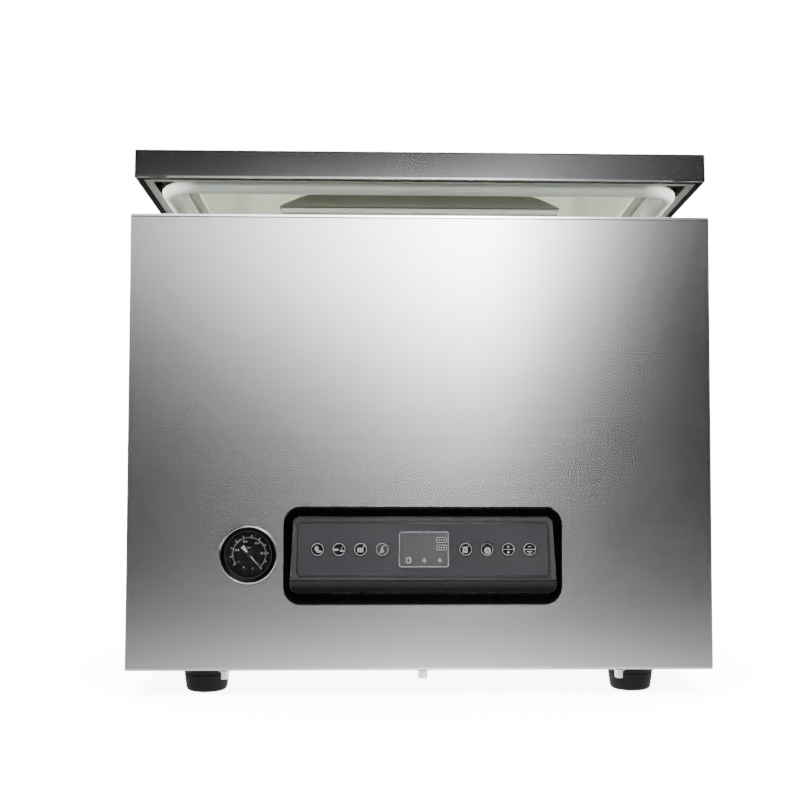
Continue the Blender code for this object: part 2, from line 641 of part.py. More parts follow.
def make_control_fascia(mat):
    """Wedge that stands out towards its lower edge, with a rounded chin, pockets and key wells."""
    bottom = FASCIA_RISE - FASCIA_SIZE[1] / 2
    top = FASCIA_RISE + FASCIA_SIZE[1] / 2
    outline = [(FRONT_Y - GAP, PANEL_Z + bottom), (FRONT_Y - GAP, PANEL_Z + top),
               (FRONT_Y + SLOPE_TOP.x, PANEL_Z + top)]
    chin_h = SLOPE_BOTTOM.y - bottom
    for step in range(5):
        angle = math.pi / 2 * step / 4
        y = FRONT_Y + SLOPE_BOTTOM.x + 0.0105 * (1 - math.cos(angle))
        outline.append((y, PANEL_Z + SLOPE_BOTTOM.y - chin_h * math.sin(angle)))
    half = FASCIA_SIZE[0] / 2
    fascia = prism("control_fascia", outline, "X", PANEL_X - half, PANEL_X + half, mat["grey"])
    upright = Matrix.Rotation(math.pi / 2, 4, "X")
    upright.translation = (PANEL_X, FRONT_Y, PANEL_Z + FASCIA_RISE)
    combine(fascia, stack("tool", ((*FASCIA_SIZE, 0.008, -0.01), (*FASCIA_SIZE, 0.008, 0.03)),
                          mat["grey"], place=upright), "INTERSECT")
    slope = slope_matrix()
    combine(fascia, stack("tool", ((*MEMBRANE_SIZE, 0.004, -0.0008), (*MEMBRANE_SIZE, 0.004, 0.002)),
                          mat["grey"], place=slope), "DIFFERENCE")
    for _, x in KEYS:
        place = slope @ Matrix.Translation((x, 0.0, 0.0))
        well = turned("tool", ((KEY_R + GAP, -0.0043), (KEY_R + GAP, 0.001)), mat["grey"], place, 20)
        combine(fascia, well, "DIFFERENCE")
    width, height = DISPLAY_SIZE[0] + 2 * GAP, DISPLAY_SIZE[1] + 2 * GAP
    pocket = stack("tool", ((width, height, 0.003, -0.0028), (width, height, 0.003, 0.001)), mat["grey"],
                   centre=(DISPLAY_X, 0.0), place=slope)
    combine(fascia, pocket, "DIFFERENCE")
    return fascia


def make_keys(mat):
    slope = slope_matrix()
    profile = ((KEY_R, -0.0034), (KEY_R, -0.0008), (KEY_R - 0.0008, -0.0004), (KEY_R - 0.002, -0.0002))
    for name, x in KEYS:
        key = turned(name, profile, mat["key"], segments=20)
        key.matrix_world = slope @ Matrix.Translation((x, 0.0, 0.0))


def make_display_window(mat):
    width, height = DISPLAY_SIZE
    levels = ((width, height, 0.0027, -0.0025), (width, height, 0.0027, -0.0006))
    return stack("display_window", levels, mat["glass"], centre=(DISPLAY_X, 0.0), place=slope_matrix())


def make_control_board(mat):
    y = FRONT_Y + SHEET + 0.006
    board = box("control_board", (PANEL_X - 0.108, y, PANEL_Z - 0.027),
                (PANEL_X + 0.108, y + 0.0016, PANEL_Z + 0.031), mat["board"])
    blocks = ((-0.085, -0.015, 0.030, 0.022, 0.016), (-0.030, 0.000, 0.022, 0.022, 0.006),
              (0.020, -0.018, 0.040, 0.012, 0.012), (0.075, 0.002, 0.018, 0.026, 0.020))
    for x, z, width, height, depth in blocks:
        low = (PANEL_X + x - width / 2, y + 0.0008, PANEL_Z + z - height / 2)
        high = (PANEL_X + x + width / 2, y + 0.0016 + depth, PANEL_Z + z + height / 2)
        combine(board, box("tool", low, high, mat["board"]), "UNION")
    return board


# ---- gauge --------------------------------------------------------------------------------
def make_gauge(mat):
    """Vacuum gauge set in the front panel: heights run out of the panel, towards the viewer."""
    place = Matrix.Translation((GAUGE_X, FRONT_Y, GAUGE_Z)) @ Matrix.Rotation(math.pi / 2, 4, "X")
    case_r = GAUGE_R - 0.0018
    well_r = case_r - 0.0014
    stub_r = 0.005
    case = ((stub_r, -0.046), (stub_r, -0.034), (case_r - 0.003, -0.034), (case_r, -0.031),
            (case_r, 0.0090), (well_r, 0.0090), (well_r, -0.0050))
    turned("gauge_case", case, mat["black"], place, segments=32)
    lip_r = GAUGE_R - 0.0050
    bezel = ((GAUGE_R, 0.0003), (GAUGE_R, 0.0105), (GAUGE_R - 0.0012, 0.0125),
             (GAUGE_R - 0.0035, 0.0125), (lip_r, 0.0112), (lip_r, 0.0104),
             (case_r + GAP, 0.0104), (case_r + GAP, 0.0003))
    turned("gauge_bezel", bezel, mat["chrome"], place, 32, ring=True)
    turned("gauge_dial", ((well_r - GAP, 0.0000), (well_r - GAP, 0.0010)), mat["dial"], place, 32)
    turned("gauge_lens", ((well_r - GAP, 0.0075), (well_r - GAP, 0.0090)), mat["lens"], place, 32)

    low, high = 0.0025, 0.0031
    tip, tail, half_tip, half_tail = 0.0185, -0.0085, 0.0003, 0.0016
    outline = [(-half_tail, tail), (half_tail, tail), (half_tail * 0.6, 0.0), (half_tip, tip),
               (-half_tip, tip), (-half_tail * 0.6, 0.0)]
    loops = [[Vector((x, y, z)) for x, y in outline] for z in (low, high)]
    needle = loft("gauge_needle", loops, mat["needle"])
    hub = turned("tool", ((0.0022, low - 0.0008), (0.0022, high + 0.0006), (0.0014, high + 0.0010)),
                 mat["needle"], segments=16)
    combine(needle, hub, "UNION")
    needle.matrix_world = place @ Matrix.Rotation(-GAUGE_ZERO, 4, "Z")


# ---- inside the cabinet -------------------------------------------------------------------
PUMP_Y = 0.075
PUMP_Z = 0.121
PAN_TOP_Z = FOOT_H + 2 * SHEET + 2 * GAP
VALVE = Vector((-0.150, 0.150, 0.276))


def make_vacuum_pump(mat):
    """Rotary vane pump: finned block on a foot, with its suction stub on top."""
    along_x = Matrix.Translation((0.0, PUMP_Y, PUMP_Z)) @ Matrix.Rotation(math.pi / 2, 4, "Y")
    levels = []
    start, fin, gap = -0.020, 0.004, 0.010
    for i in range(9):
        x = start + i * (fin + gap)
        levels += [(0.132, 0.140, 0.020, x), (0.150, 0.160, 0.026, x), (0.150, 0.160, 0.026, x + fin),
                   (0.132, 0.140, 0.020, x + fin)]
    pump = stack("vacuum_pump", levels[1:-1], mat["pump"], place=along_x, steps=1)
    foot = box("tool", (-0.018, PUMP_Y - 0.060, PAN_TOP_Z), (0.094, PUMP_Y + 0.060, PUMP_Z - 0.050),
               mat["pump"])
    combine(pump, foot, "UNION")
    centre = (0.038, PUMP_Y, 0.0)
    combine(pump, bore(0.014, PUMP_Z + 0.050, PUMP_Z + 0.095, "Z", centre, mat["pump"], 20), "UNION")


def make_pump_motor(mat):
    """Motor on the pump's shaft end, with a ribbed barrel and a fan cowl."""
    along_x = Matrix.Translation((-0.0205, PUMP_Y, PUMP_Z)) @ Matrix.Rotation(-math.pi / 2, 4, "Y")
    profile = [(0.050, 0.0), (0.058, 0.004), (0.058, 0.010)]
    for i in range(5):
        z = 0.014 + i * 0.020
        profile += [(0.054, z), (0.054, z + 0.008), (0.059, z + 0.008), (0.059, z + 0.014)]
    profile += [(0.064, 0.114), (0.064, 0.150), (0.056, 0.156)]
    motor = turned("pump_motor", profile, mat["motor"], along_x, segments=16)
    foot = box("tool", (-0.130, PUMP_Y - 0.045, PAN_TOP_Z), (-0.040, PUMP_Y + 0.045, PUMP_Z - 0.045),
               mat["motor"])
    combine(motor, foot, "UNION")


def make_exhaust_filter(mat):
    place = Matrix.Translation((0.160, PUMP_Y, 0.0))
    profile = ((0.030, PAN_TOP_Z), (0.034, PAN_TOP_Z + 0.004), (0.034, 0.150), (0.037, 0.152),
               (0.037, 0.160), (0.034, 0.162), (0.034, 0.178), (0.020, 0.190), (0.010, 0.190),
               (0.010, 0.205))
    turned("exhaust_filter", profile, mat["filter"], place, segments=16)


def make_transformer(mat):
    """Seal bar transformer: laminated core between two wound bobbin faces."""
    levels = ((0.086, 0.070, 0.002, PAN_TOP_Z), (0.086, 0.070, 0.002, PAN_TOP_Z + 0.014),
              (0.060, 0.084, 0.010, PAN_TOP_Z + 0.016), (0.060, 0.084, 0.010, PAN_TOP_Z + 0.058),
              (0.086, 0.070, 0.002, PAN_TOP_Z + 0.060), (0.086, 0.070, 0.002, PAN_TOP_Z + 0.074))
    stack("transformer", levels, mat["copper"], centre=(0.200, -0.090))


def make_valve_block(mat):
    size = Vector((0.056, 0.040, 0.036))
    block = box("valve_block", VALVE - size / 2, VALVE + size / 2, mat["brass"])
    combine(block, bore(0.012, 0.010, 0.032, "X", VALVE, mat["brass"], 20), "UNION")
    combine(block, bore(0.005, -0.032, -0.010, "Y", VALVE, mat["brass"], 16), "UNION")
    reach = TUB_FLOOR_Z - SHEET - GAP - VALVE.z
    combine(block, bore(0.010, 0.010, reach, "Z", VALVE, mat["brass"], 16), "UNION")
    return block


def hose_path(start, leave, middle, end, arrive, spacing_count):
    """Smooth route that leaves start and reaches end along straight stubs."""
    start, leave, end, arrive = Vector(start), Vector(leave), Vector(end), Vector(arrive)
    knots = [start, start + leave * 0.4, start + leave, *middle, end - arrive, end - arrive * 0.4, end]
    return smooth_path(knots, spacing_count)


def make_hoses(mat):
    suction_top = (0.038, PUMP_Y, PUMP_Z + 0.095 + GAP)
    valve_side = VALVE + Vector((0.032 + GAP, 0.0, 0.0))
    middle = ((0.014, 0.100, 0.268), (-0.040, 0.132, 0.278))
    route = hose_path(suction_top, (0.0, 0.0, 0.020), middle, valve_side, (-0.020, 0.0, 0.0), 3)
    tube("vacuum_hose", route, 0.011, mat["rubber"], sides=2)

    gauge_back = (GAUGE_X, FRONT_Y + 0.046 + GAP, GAUGE_Z)
    valve_front = VALVE + Vector((0.0, -0.032 - GAP, 0.0))
    middle = ((-0.172, -0.100, 0.190), (-0.168, -0.020, 0.240), (-0.156, 0.060, 0.266))
    route = hose_path(gauge_back, (0.0, 0.020, 0.0), middle, valve_front, (0.0, 0.016, 0.0), 4)
    tube("gauge_hose", route, 0.004, mat["rubber"], sides=1)


# ---- mains inlet --------------------------------------------------------------------------
def make_power_inlet(mat):
    """Flanged module in the rear cover: a three-pin socket well below, the rocker's well above."""
    half_w, half_h = INLET_SIZE[0] / 2, INLET_SIZE[1] / 2
    flange, overlap = 0.0022, 0.004
    seat = REAR_Y + GAP
    inlet = box("power_inlet", (INLET_X - half_w - overlap, seat, INLET_Z - half_h - overlap),
                (INLET_X + half_w + overlap, seat + flange, INLET_Z + half_h + overlap), mat["black"])
    body = box("tool", (INLET_X - half_w + GAP, REAR_Y - 0.028, INLET_Z - half_h + GAP),
               (INLET_X + half_w - GAP, seat + flange / 2, INLET_Z + half_h - GAP), mat["black"])
    combine(inlet, body, "UNION")
    mouth = REAR_Y + 0.01
    socket = box("tool", (INLET_X - 0.012, REAR_Y - 0.016, INLET_Z - 0.024),
                 (INLET_X + 0.012, mouth, INLET_Z - 0.0075), mat["black"])
    combine(inlet, socket, "DIFFERENCE")
    well = box("tool", (INLET_X - 0.0070, REAR_Y - 0.014, INLET_Z + 0.0030),
               (INLET_X + 0.0070, mouth, INLET_Z + 0.0240), mat["black"])
    combine(inlet, well, "DIFFERENCE")
    return inlet


def make_power_rocker(mat):
    """Rocker of the mains switch, tilted to off, turning about X at the mouth of its well."""
    pivot = Vector((INLET_X, REAR_Y - 0.0015, INLET_Z + 0.0135))
    half_len, rise, sag = 0.0088, 0.0026, 0.0040
    outline = ((-sag, -half_len + 0.001), (rise + 0.0008, -half_len), (rise - 0.0006, 0.0),
               (rise + 0.0008, half_len), (-sag, half_len - 0.001), (-sag - 0.002, 0.0))
    rocker = prism("power_rocker", outline, "X", -0.0066, 0.0066, mat["black"])
    rocker.location = pivot
    rocker.rotation_euler = (ROCKER_TILT, 0.0, 0.0)
    return rocker


def main():
    for obj in list(bpy.data.objects):
        bpy.data.objects.remove(obj)
    mat = make_materials()
    make_front_panel(mat)
    make_side_panel("left_side_panel", -1, mat)
    make_side_panel("right_side_panel", 1, mat)
    make_rear_cover(mat)
    make_base_pan(mat)
    make_top_deck(mat)
    make_chamber_tub(mat)
    make_feet(mat)
    make_front_bolts(mat)
    make_filler_plate(mat)
    make_seal_bar(mat)
    make_lid(mat)
    make_control_bezel(mat)
    make_control_fascia(mat)
    make_keys(mat)
    make_display_window(mat)
    make_control_board(mat)
    make_gauge(mat)
    make_vacuum_pump(mat)
    make_pump_motor(mat)
    make_exhaust_filter(mat)
    make_transformer(mat)
    make_valve_block(mat)
    make_hoses(mat)
    make_power_inlet(mat)
    make_power_rocker(mat)


main()
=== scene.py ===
"""Looks of a tabletop chamber vacuum packing machine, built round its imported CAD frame.

Metres, +Z up, the front face towards -Y, the origin on the floor under the middle of the machine.
"""

import json
from math import cos, exp, pi, radians, sin

import bmesh
import bpy
from mathutils import Matrix, Vector

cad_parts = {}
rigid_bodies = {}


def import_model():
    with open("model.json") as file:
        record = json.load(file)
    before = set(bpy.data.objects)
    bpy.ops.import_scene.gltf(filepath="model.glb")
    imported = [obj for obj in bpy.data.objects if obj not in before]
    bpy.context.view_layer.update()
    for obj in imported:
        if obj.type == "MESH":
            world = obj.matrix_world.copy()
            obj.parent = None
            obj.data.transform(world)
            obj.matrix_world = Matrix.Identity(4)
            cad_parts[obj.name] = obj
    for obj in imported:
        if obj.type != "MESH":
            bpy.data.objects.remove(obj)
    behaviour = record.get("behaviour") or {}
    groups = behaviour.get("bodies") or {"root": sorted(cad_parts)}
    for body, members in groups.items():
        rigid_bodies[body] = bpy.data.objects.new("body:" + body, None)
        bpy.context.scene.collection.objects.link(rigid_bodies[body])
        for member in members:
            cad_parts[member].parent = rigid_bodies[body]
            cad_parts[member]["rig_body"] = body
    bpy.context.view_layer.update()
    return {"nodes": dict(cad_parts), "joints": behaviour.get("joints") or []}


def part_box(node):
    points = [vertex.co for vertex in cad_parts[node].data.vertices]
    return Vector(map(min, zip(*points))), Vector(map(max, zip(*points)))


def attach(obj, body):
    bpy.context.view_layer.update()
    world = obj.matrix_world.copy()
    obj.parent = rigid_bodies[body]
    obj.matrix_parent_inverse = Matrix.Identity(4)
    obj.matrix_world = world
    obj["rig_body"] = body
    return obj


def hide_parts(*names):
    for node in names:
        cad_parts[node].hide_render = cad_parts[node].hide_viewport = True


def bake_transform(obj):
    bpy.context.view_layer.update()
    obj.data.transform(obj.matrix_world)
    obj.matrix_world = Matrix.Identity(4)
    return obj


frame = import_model()

# ---- sizes and places ---------------------------------------------------------------------
WELD = 0.00001
FLAT = radians(0.4)         # neighbouring faces that turn by less than this are made one
CREASE = radians(32)
PRINT_T = 0.00006           # thickness of printed marks
X_AXIS, Z_AXIS = Vector((1.0, 0.0, 0.0)), Vector((0.0, 0.0, 1.0))
shift = Matrix.Translation
TO_FRONT, TO_REAR = (Matrix.Rotation(turn, 4, "X") for turn in (pi / 2, -pi / 2))
TO_RIGHT = Matrix.Rotation(pi / 2, 4, "Y")

JOINTS = {joint["name"]: joint for joint in frame["joints"]}
HINGE = Vector(JOINTS["lid_hinge"]["pos_m"])
LID_TILT = radians(-JOINTS["lid_hinge"]["range_deg"][0])
LID_PLACE = shift(HINGE) @ Matrix.Rotation(-LID_TILT, 4, "X") @ shift(-HINGE)


def node_box(node, place=Matrix()):
    """Lowest and highest corner of a CAD node, measured in the frame of place."""
    back = place.inverted()
    points = [back @ vertex.co for vertex in frame["nodes"][node].data.vertices]
    return [Vector([pick(p[i] for p in points) for i in range(3)]) for pick in (min, max)]


FRONT_LOW, FRONT_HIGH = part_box("front_panel")
FRONT_Y, REAR_Y = FRONT_LOW.y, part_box("rear_cover")[1].y
BODY_LOW_Z, TOP_Z = FRONT_LOW.z, FRONT_HIGH.z
HALF_W = FRONT_HIGH.x
FASCIA_LOW, FASCIA_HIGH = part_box("control_fascia")
LID_LOW, LID_HIGH = node_box("lid_frame", LID_PLACE)
LID_CENTRE = (0.0, (LID_LOW.y + LID_HIGH.y) / 2)


# ---- materials ----------------------------------------------------------------------------
def plug(tree, node, inputs):
    """Feeds inputs of a node: an output socket is linked, and anything else is a constant."""
    for name, value in dict(inputs).items():
        if isinstance(value, bpy.types.NodeSocket):
            tree.links.new(value, node.inputs[name])
        else:
            node.inputs[name].default_value = value


def add_node(tree, kind, settings=(), inputs=()):
    node = tree.nodes.new(kind)
    for name, value in dict(settings).items():
        setattr(node, name, value)
    plug(tree, node, inputs)
    return node


def new_material(name):
    material = bpy.data.materials.new(name)
    material.use_nodes = True
    return material, material.node_tree, material.node_tree.nodes["Principled BSDF"]


def coordinates(tree, stretch=(1.0, 1.0, 1.0)):
    """Object space, scaled along each axis: large values make a pattern fine along that axis."""
    place = add_node(tree, "ShaderNodeTexCoord")
    inputs = {"Vector": place.outputs["Object"], "Scale": stretch}
    return add_node(tree, "ShaderNodeMapping", inputs=inputs).outputs["Vector"]


def axes(tree):
    """Object coordinates as separate sockets X, Y and Z."""
    return add_node(tree, "ShaderNodeSeparateXYZ", inputs={0: coordinates(tree)}).outputs


def noise(tree, vector, scale, detail=4.0, roughness=0.55):
    inputs = {"Vector": vector, "Scale": scale, "Detail": detail, "Roughness": roughness}
    return add_node(tree, "ShaderNodeTexNoise", inputs=inputs).outputs["Fac"]


def spread(tree, value, low, high, start=0.3, end=0.7):
    """Value from start to end, turned into a number from low to high."""
    inputs = {"Value": value, "From Min": start, "From Max": end, "To Min": low, "To Max": high}
    return add_node(tree, "ShaderNodeMapRange", inputs=inputs).outputs["Result"]


def tint(tree, value, dark, light, start=0.3, end=0.7):
    """Value from start to end, turned into a colour between dark and light."""
    node = add_node(tree, "ShaderNodeValToRGB", inputs={"Fac": value})
    first, last = node.color_ramp.elements
    first.position, last.position = start, end
    first.color, last.color = (*dark, 1.0), (*light, 1.0)
    return node.outputs["Color"]


def relief(tree, value, distance, strength):
    inputs = {"Height": value, "Distance": distance, "Strength": strength}
    return add_node(tree, "ShaderNodeBump", inputs=inputs).outputs["Normal"]


def calc(tree, operation, *values):
    settings = {"operation": operation}
    return add_node(tree, "ShaderNodeMath", settings, dict(enumerate(values))).outputs[0]


def bands(tree, direction, pitch):
    """Even bands across one axis: at a scale of 0.31 they repeat once a metre."""
    settings = {"wave_type": "BANDS", "bands_direction": direction}
    inputs = {"Vector": coordinates(tree), "Scale": 0.31 / pitch}
    return add_node(tree, "ShaderNodeTexWave", settings, inputs).outputs["Fac"]


def shaded(color, factor):
    return tuple(min(1.0, c * factor) for c in color)


def edge_wear_and_sheen(tree, base, color, share):
    """Base colour with sharp edges made pale: partly rubbed wear, partly a painted highlight where
    those edges catch the light.
    """
    edge = add_node(tree, "ShaderNodeNewGeometry").outputs["Pointiness"]
    inputs = {"Factor": spread(tree, edge, 0.0, share, 0.52, 0.60), "A": base,
              "B": (*shaded(color, 4.0), 1.0)}
    return add_node(tree, "ShaderNodeMix", {"data_type": "RGBA"}, inputs).outputs["Result"]


def surface(name, color, roughness, sockets=(), tone=0.08, gloss_spread=0.04, patch=12.0,
            grain=900.0, depth=0.00002, strength=0.25, wear_and_sheen=0.0):
    """Principled surface with patchy tone, patchy gloss and a fine grain in its relief."""
    material, tree, shader = new_material(name)
    vector = coordinates(tree)
    patches = noise(tree, vector, patch)
    base = tint(tree, patches, shaded(color, 1 - tone), shaded(color, 1 + tone))
    plug(tree, shader, {
        "Base Color": edge_wear_and_sheen(tree, base, color, wear_and_sheen) if wear_and_sheen else base,
        "Roughness": spread(tree, patches, roughness - gloss_spread, roughness + gloss_spread),
        "Normal": relief(tree, noise(tree, vector, grain, 2.0), depth, strength)})
    plug(tree, shader, sockets)
    return material


def brushed(name, roughness, stretch, anisotropy, axis):
    """Stainless sheet brushed one way: stretch is small along the brush lines."""
    material, tree, shader = new_material(name)
    lines = noise(tree, coordinates(tree, stretch), 1.0, 6.0, 0.65)
    clouds = noise(tree, coordinates(tree), 3.5, 3.0)
    mixed = add_node(tree, "ShaderNodeMix", {"data_type": "FLOAT"},
                     {"Factor": 0.35, "A": lines, "B": clouds}).outputs["Result"]
    tangent = add_node(tree, "ShaderNodeTangent", {"direction_type": "RADIAL", "axis": axis})
    plug(tree, shader, {
        "Metallic": 1.0, "Anisotropic": anisotropy, "Anisotropic Rotation": 0.25,
        "Base Color": tint(tree, mixed, shaded(STEEL, 0.96), shaded(STEEL, 1.04)),
        "Roughness": spread(tree, mixed, roughness - 0.02, roughness + 0.02),
        "Normal": relief(tree, lines, 0.00002, 0.008), "Tangent": tangent.outputs["Tangent"]})
    return material


def laminated(name, color, sheet):
    """Stack of thin plates, seen as fine horizontal lines."""
    material = surface(name, color, 0.45, {"Metallic": 0.6}, tone=0.15)
    tree = material.node_tree
    plates = relief(tree, bands(tree, "Z", sheet), 0.0002, 0.6)
    plug(tree, tree.nodes["Principled BSDF"], {"Normal": plates})
    return material


def woven(name, color, thread):
    """Glass cloth coated in PTFE, with a fine square weave in its relief."""
    material = surface(name, color, 0.42, {"Coat Weight": 0.15}, tone=0.10)
    tree = material.node_tree
    weave = calc(tree, "MULTIPLY", bands(tree, "X", thread), bands(tree, "Y", thread))
    plug(tree, tree.nodes["Principled BSDF"], {"Normal": relief(tree, weave, 0.0001, 0.7)})
    return material


def painted_shade_gradient(name, color, foot, shade_start_z, full_z):
    """Fascia plastic painted darker and less glossy towards its foot, where it turns in over the
    bezel: painted shade, running from colour at full_z down to the foot colour.
    """
    material = surface(name, color, 0.34, tone=0.05, grain=1900.0, depth=0.00005, strength=0.35)
    tree = material.node_tree
    height = spread(tree, axes(tree)["Z"], 0.0, 1.0, shade_start_z, full_z)
    plug(tree, tree.nodes["Principled BSDF"], {
        "Base Color": tint(tree, height, foot, color, 0.0, 1.0),
        "Specular IOR Level": spread(tree, height, 0.04, 0.16, 0.0, 1.0)})
    return material


def milky(material, color, share):
    """Lets part of the light through a clear material as a soft glow."""
    tree = material.node_tree
    soft = add_node(tree, "ShaderNodeBsdfTranslucent", inputs={"Color": (*color, 1.0)})
    clear = tree.nodes["Principled BSDF"].outputs["BSDF"]
    mix = add_node(tree, "ShaderNodeMixShader", inputs={0: share, 1: clear, 2: soft.outputs["BSDF"]})
    plug(tree, tree.nodes["Material Output"], {"Surface": mix.outputs["Shader"]})
    return material


STEEL = (0.60, 0.61, 0.59)
FINE, COARSE = 1200.0, 5.0
METAL = {"Metallic": 1.0}
SHINE = "Specular IOR Level"
CAST = {"patch": 25.0, "grain": 260.0, "depth": 0.0003, "strength": 0.6, "wear_and_sheen": 0.4}
M = {
    "wall": brushed("stainless_brushed_walls", 0.21, (COARSE, COARSE, FINE), 0.70, "Z"),
    "deck": brushed("stainless_brushed_deck", 0.24, (COARSE, FINE, COARSE), 0.45, "Y"),
    "tub": surface("stainless_drawn_chamber", STEEL, 0.20, METAL, tone=0.05, patch=6.0,
                   grain=500.0, strength=0.12),
    # lid band: steel with its base colour darkened far below steel, a painted dark reflection of the
    # surroundings
    "lid": surface("stainless_painted_dark_reflection", (0.20, 0.20, 0.205), 0.13, METAL, tone=0.05,
                   gloss_spread=0.01, patch=5.0, grain=350.0, strength=0.0),
    "bright": surface("stainless_polished_edge", (0.66, 0.66, 0.65), 0.12, METAL, tone=0.04,
                      gloss_spread=0.03, patch=9.0, strength=0.05),
    "flange": surface("stainless_satin_flange", (0.58, 0.60, 0.56), 0.50, {"Metallic": 0.4},
                      tone=0.06, strength=0.15),
    "chrome": surface("chrome_plate", (0.80, 0.80, 0.81), 0.06, METAL, tone=0.03,
                      gloss_spread=0.02, strength=0.03),
    "screw": surface("zinc_screw", (0.62, 0.62, 0.60), 0.26, METAL, tone=0.10, gloss_spread=0.08,
                     patch=300.0, strength=0.2),
    "rubber": surface("black_rubber", (0.006, 0.006, 0.006), 0.50, {SHINE: 0.22}, tone=0.25,
                      patch=60.0, grain=1400.0, depth=0.00006, strength=0.5, wear_and_sheen=0.35),
    # white silicone given a grey base colour: painted shade for the gasket's face under the lid
    "silicone": surface("white_silicone", (0.56, 0.59, 0.54), 0.42,
                        {"Subsurface Weight": 0.25, "Subsurface Scale": 0.004,
                         "Coat Weight": 0.15, "Coat Roughness": 0.3},
                        tone=0.03, patch=30.0, grain=700.0, strength=0.15),
    "acrylic": milky(surface("clear_acrylic", (0.93, 0.93, 0.86), 0.05,
                             {"Transmission Weight": 0.97, "IOR": 1.49}, tone=0.02,
                             gloss_spread=0.02, patch=4.0, grain=60.0, strength=0.02),
                     (0.95, 0.96, 0.83), 0.05),
    "holder": surface("olive_anodised_holder", (0.18, 0.186, 0.148), 0.40, {"Metallic": 0.35},
                      patch=25.0, wear_and_sheen=0.4),
    "black": surface("black_gloss_plastic", (0.002, 0.002, 0.0023), 0.20, {SHINE: 0.08}, tone=0.2,
                     patch=40.0, grain=1100.0, depth=0.00003, strength=0.12, wear_and_sheen=0.12),
    "moulded": surface("black_moulded_plastic", (0.016, 0.016, 0.017), 0.45, tone=0.2, patch=50.0,
                       grain=1600.0, depth=0.00008, strength=0.5, wear_and_sheen=0.25),
    # the fascia's pale sharp edges are mostly a painted highlight
    "fascia": surface("grey_fascia_plastic", (0.057, 0.063, 0.066), 0.34, {SHINE: 0.16},
                      tone=0.06, patch=18.0, grain=1900.0, depth=0.00005, strength=0.35, wear_and_sheen=0.3),
    # lighter copy of the fascia plastic for its rounded edges: painted highlight
    "fascia_edge_highlight": surface("grey_fascia_painted_edge_highlight", (0.15, 0.16, 0.165), 0.30, {SHINE: 0.35},
                           tone=0.06, patch=60.0, strength=0.1),
    # chin: painted shade, darker and less glossy towards the bottom of the fascia
    "chin": painted_shade_gradient("grey_fascia_chin_painted_shade", (0.088, 0.095, 0.099), (0.012, 0.013, 0.0135),
                      FASCIA_LOW.z + 0.0046, FASCIA_LOW.z + 0.0110),
    "film": surface("grey_membrane_film", (0.058, 0.063, 0.074), 0.36, {SHINE: 0.17}, tone=0.05,
                    patch=10.0, grain=2600.0, depth=0.00003, strength=0.3),
    "key": surface("dark_key_film", (0.010, 0.010, 0.012), 0.34, {SHINE: 0.05}, tone=0.15,
                   patch=200.0, grain=2600.0, strength=0.3),
    "ink": surface("white_print", (0.90, 0.91, 0.93), 0.50, tone=0.05, patch=900.0, grain=3000.0,
                   strength=0.2),
    "display": surface("smoked_display_glass", (0.064, 0.070, 0.080), 0.30, {SHINE: 0.18},
                       tone=0.10, gloss_spread=0.03, patch=35.0, strength=0.03),
    "lens": surface("gauge_glass", (0.60, 0.62, 0.60), 0.03, {"Alpha": 0.02, "IOR": 1.45},
                    tone=0.01, gloss_spread=0.01, strength=0.01),
    "dial": surface("black_dial_enamel", (0.003, 0.003, 0.003), 0.45, {SHINE: 0.04}, tone=0.2,
                    patch=150.0, strength=0.2),
    "needle": surface("white_needle_paint", (0.82, 0.82, 0.80), 0.35, tone=0.04, patch=400.0,
                      strength=0.2),
    "board": surface("green_circuit_board", (0.018, 0.13, 0.05), 0.35, {"Coat Weight": 0.4},
                     tone=0.25, patch=90.0, grain=400.0, depth=0.0001, strength=0.5),
    "pump": surface("cast_pump_paint", (0.22, 0.24, 0.27), 0.48, {"Metallic": 0.2}, 0.12, **CAST),
    "motor": surface("cast_motor_paint", (0.09, 0.11, 0.15), 0.45, {"Metallic": 0.2}, 0.12, **CAST),
    "filter": surface("filter_shell_steel", (0.36, 0.36, 0.37), 0.38, {"Metallic": 0.8},
                      patch=20.0, strength=0.3),
    "core": laminated("laminated_transformer_core", (0.30, 0.14, 0.06), 0.0007),
    "brass": surface("valve_brass", (0.56, 0.42, 0.17), 0.28, METAL, tone=0.10, patch=50.0,
                     strength=0.3),
    "white": surface("white_polyethylene", (0.84, 0.85, 0.83), 0.40,
                     {"Subsurface Weight": 0.1, "Subsurface Scale": 0.003}, tone=0.03, patch=8.0,
                     grain=220.0, depth=0.0002, strength=0.5),
    "wire": surface("nickel_chrome_band", (0.42, 0.40, 0.37), 0.30, METAL, tone=0.15, patch=60.0,
                    strength=0.3),
    "ptfe": woven("brown_ptfe_cloth", (0.36, 0.25, 0.13), 0.0005),
    "spring": surface("spring_steel", (0.34, 0.34, 0.35), 0.22, METAL, tone=0.10, patch=120.0,
                      strength=0.15),
}


# ---- mesh helpers -------------------------------------------------------------------------
def flatten(obj):
    """Keeps large flat faces flat where they run into a bend."""
    weigh = obj.modifiers.new("flat_faces", "WEIGHTED_NORMAL")
    weigh.mode = "FACE_AREA"
    weigh.weight = 100
    weigh.keep_sharp = True
    return obj


def soften(obj, width, segments=2):
    """Rounds the edges of a mesh object with a Bevel modifier."""
    bevel = obj.modifiers.new("soft_edges", "BEVEL")
    bevel.width = width
    bevel.segments = segments
    bevel.limit_method = "ANGLE"
    bevel.angle_limit = CREASE
    bevel.use_clamp_overlap = True
    return flatten(obj)


def crease(obj):
    obj.data.set_sharp_from_angle(angle=CREASE)
    return obj


